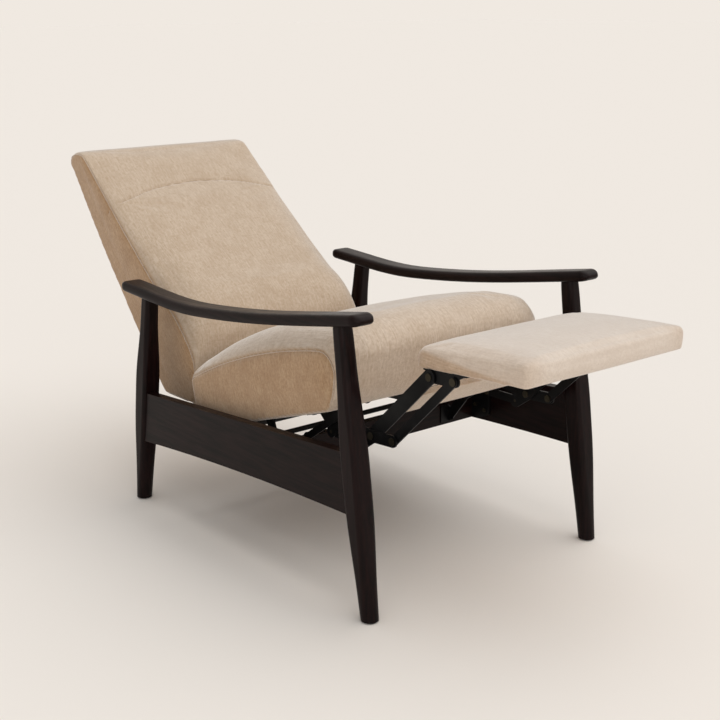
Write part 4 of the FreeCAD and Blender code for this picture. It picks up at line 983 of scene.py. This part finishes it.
def make_light():
    """Even light from all round and two broad lamps, and a paper background where it is seen."""
    world = bpy.data.worlds.new("studio")
    bpy.context.scene.world = world
    world.use_nodes = True
    tree = world.node_tree
    tree.nodes.clear()
    out = tree.nodes.new("ShaderNodeOutputWorld")
    seen, lit, mix = (tree.nodes.new("ShaderNode" + k) for k in ("Background", "Background", "MixShader"))
    path = tree.nodes.new("ShaderNodeLightPath")
    seen.inputs["Color"].default_value = colour(*PAPER)
    lit.inputs["Color"].default_value = (1.0, 1.0, 1.0, 1.0)
    lit.inputs["Strength"].default_value = WORLD_STRENGTH
    shown = path.outputs["Is Camera Ray"]
    for ray in ("Is Glossy Ray", "Is Transmission Ray"):
        either = tree.nodes.new("ShaderNodeMath")
        either.operation = "MAXIMUM"
        tree.links.new(shown, either.inputs[0])
        tree.links.new(path.outputs[ray], either.inputs[1])
        shown = either.outputs[0]
    tree.links.new(shown, mix.inputs[0])
    tree.links.new(lit.outputs[0], mix.inputs[1])
    tree.links.new(seen.outputs[0], mix.inputs[2])
    tree.links.new(mix.outputs[0], out.inputs[0])
    for name, direction, strength, angle in LAMPS:
        lamp = bpy.data.lights.new(name, "SUN")
        lamp.energy, lamp.angle = strength, math.radians(angle)
        thing = placed(name, lamp)
        thing.rotation_mode = "QUATERNION"
        thing.rotation_quaternion = Vector(direction).to_track_quat("Z", "Y")


def make_camera():
    """The camera at the photograph's viewing angle."""
    azimuth, elevation, roll = (math.radians(a) for a in CAMERA_ANGLES)
    flat = math.cos(elevation)
    back = Vector((math.sin(azimuth) * flat, -math.cos(azimuth) * flat, math.sin(elevation)))
    right = (-back).cross(Vector((0, 0, 1))).normalized()
    up = right.cross(-back)
    right, up = (math.cos(roll) * right + math.sin(roll) * up, -math.sin(roll) * right + math.cos(roll) * up)
    data = bpy.data.cameras.new("camera")
    data.sensor_width, data.lens = SENSOR, FOCAL_PIXELS / IMAGE_PIXELS * SENSOR
    middle = IMAGE_PIXELS / 2
    data.shift_x = (middle - CENTRE_PIXELS[0]) / IMAGE_PIXELS
    data.shift_y = (CENTRE_PIXELS[1] - middle) / IMAGE_PIXELS
    data.clip_end = CLIP_END
    camera = placed("camera", data)
    turn = Matrix((right, up, back)).transposed().to_4x4()
    camera.matrix_world = Matrix.Translation(Vector(CAMERA_TARGET) + back * CAMERA_DISTANCE) @ turn
    bpy.context.scene.camera = camera


for side in ("left", "right"):
    make_arm(side)
make_bridge_cover()
make_seat_cushion()
make_back_cushion()
make_rest_cushion()
make_stage()
make_light()
make_camera()
bpy.context.scene.view_settings.view_transform = "Standard"
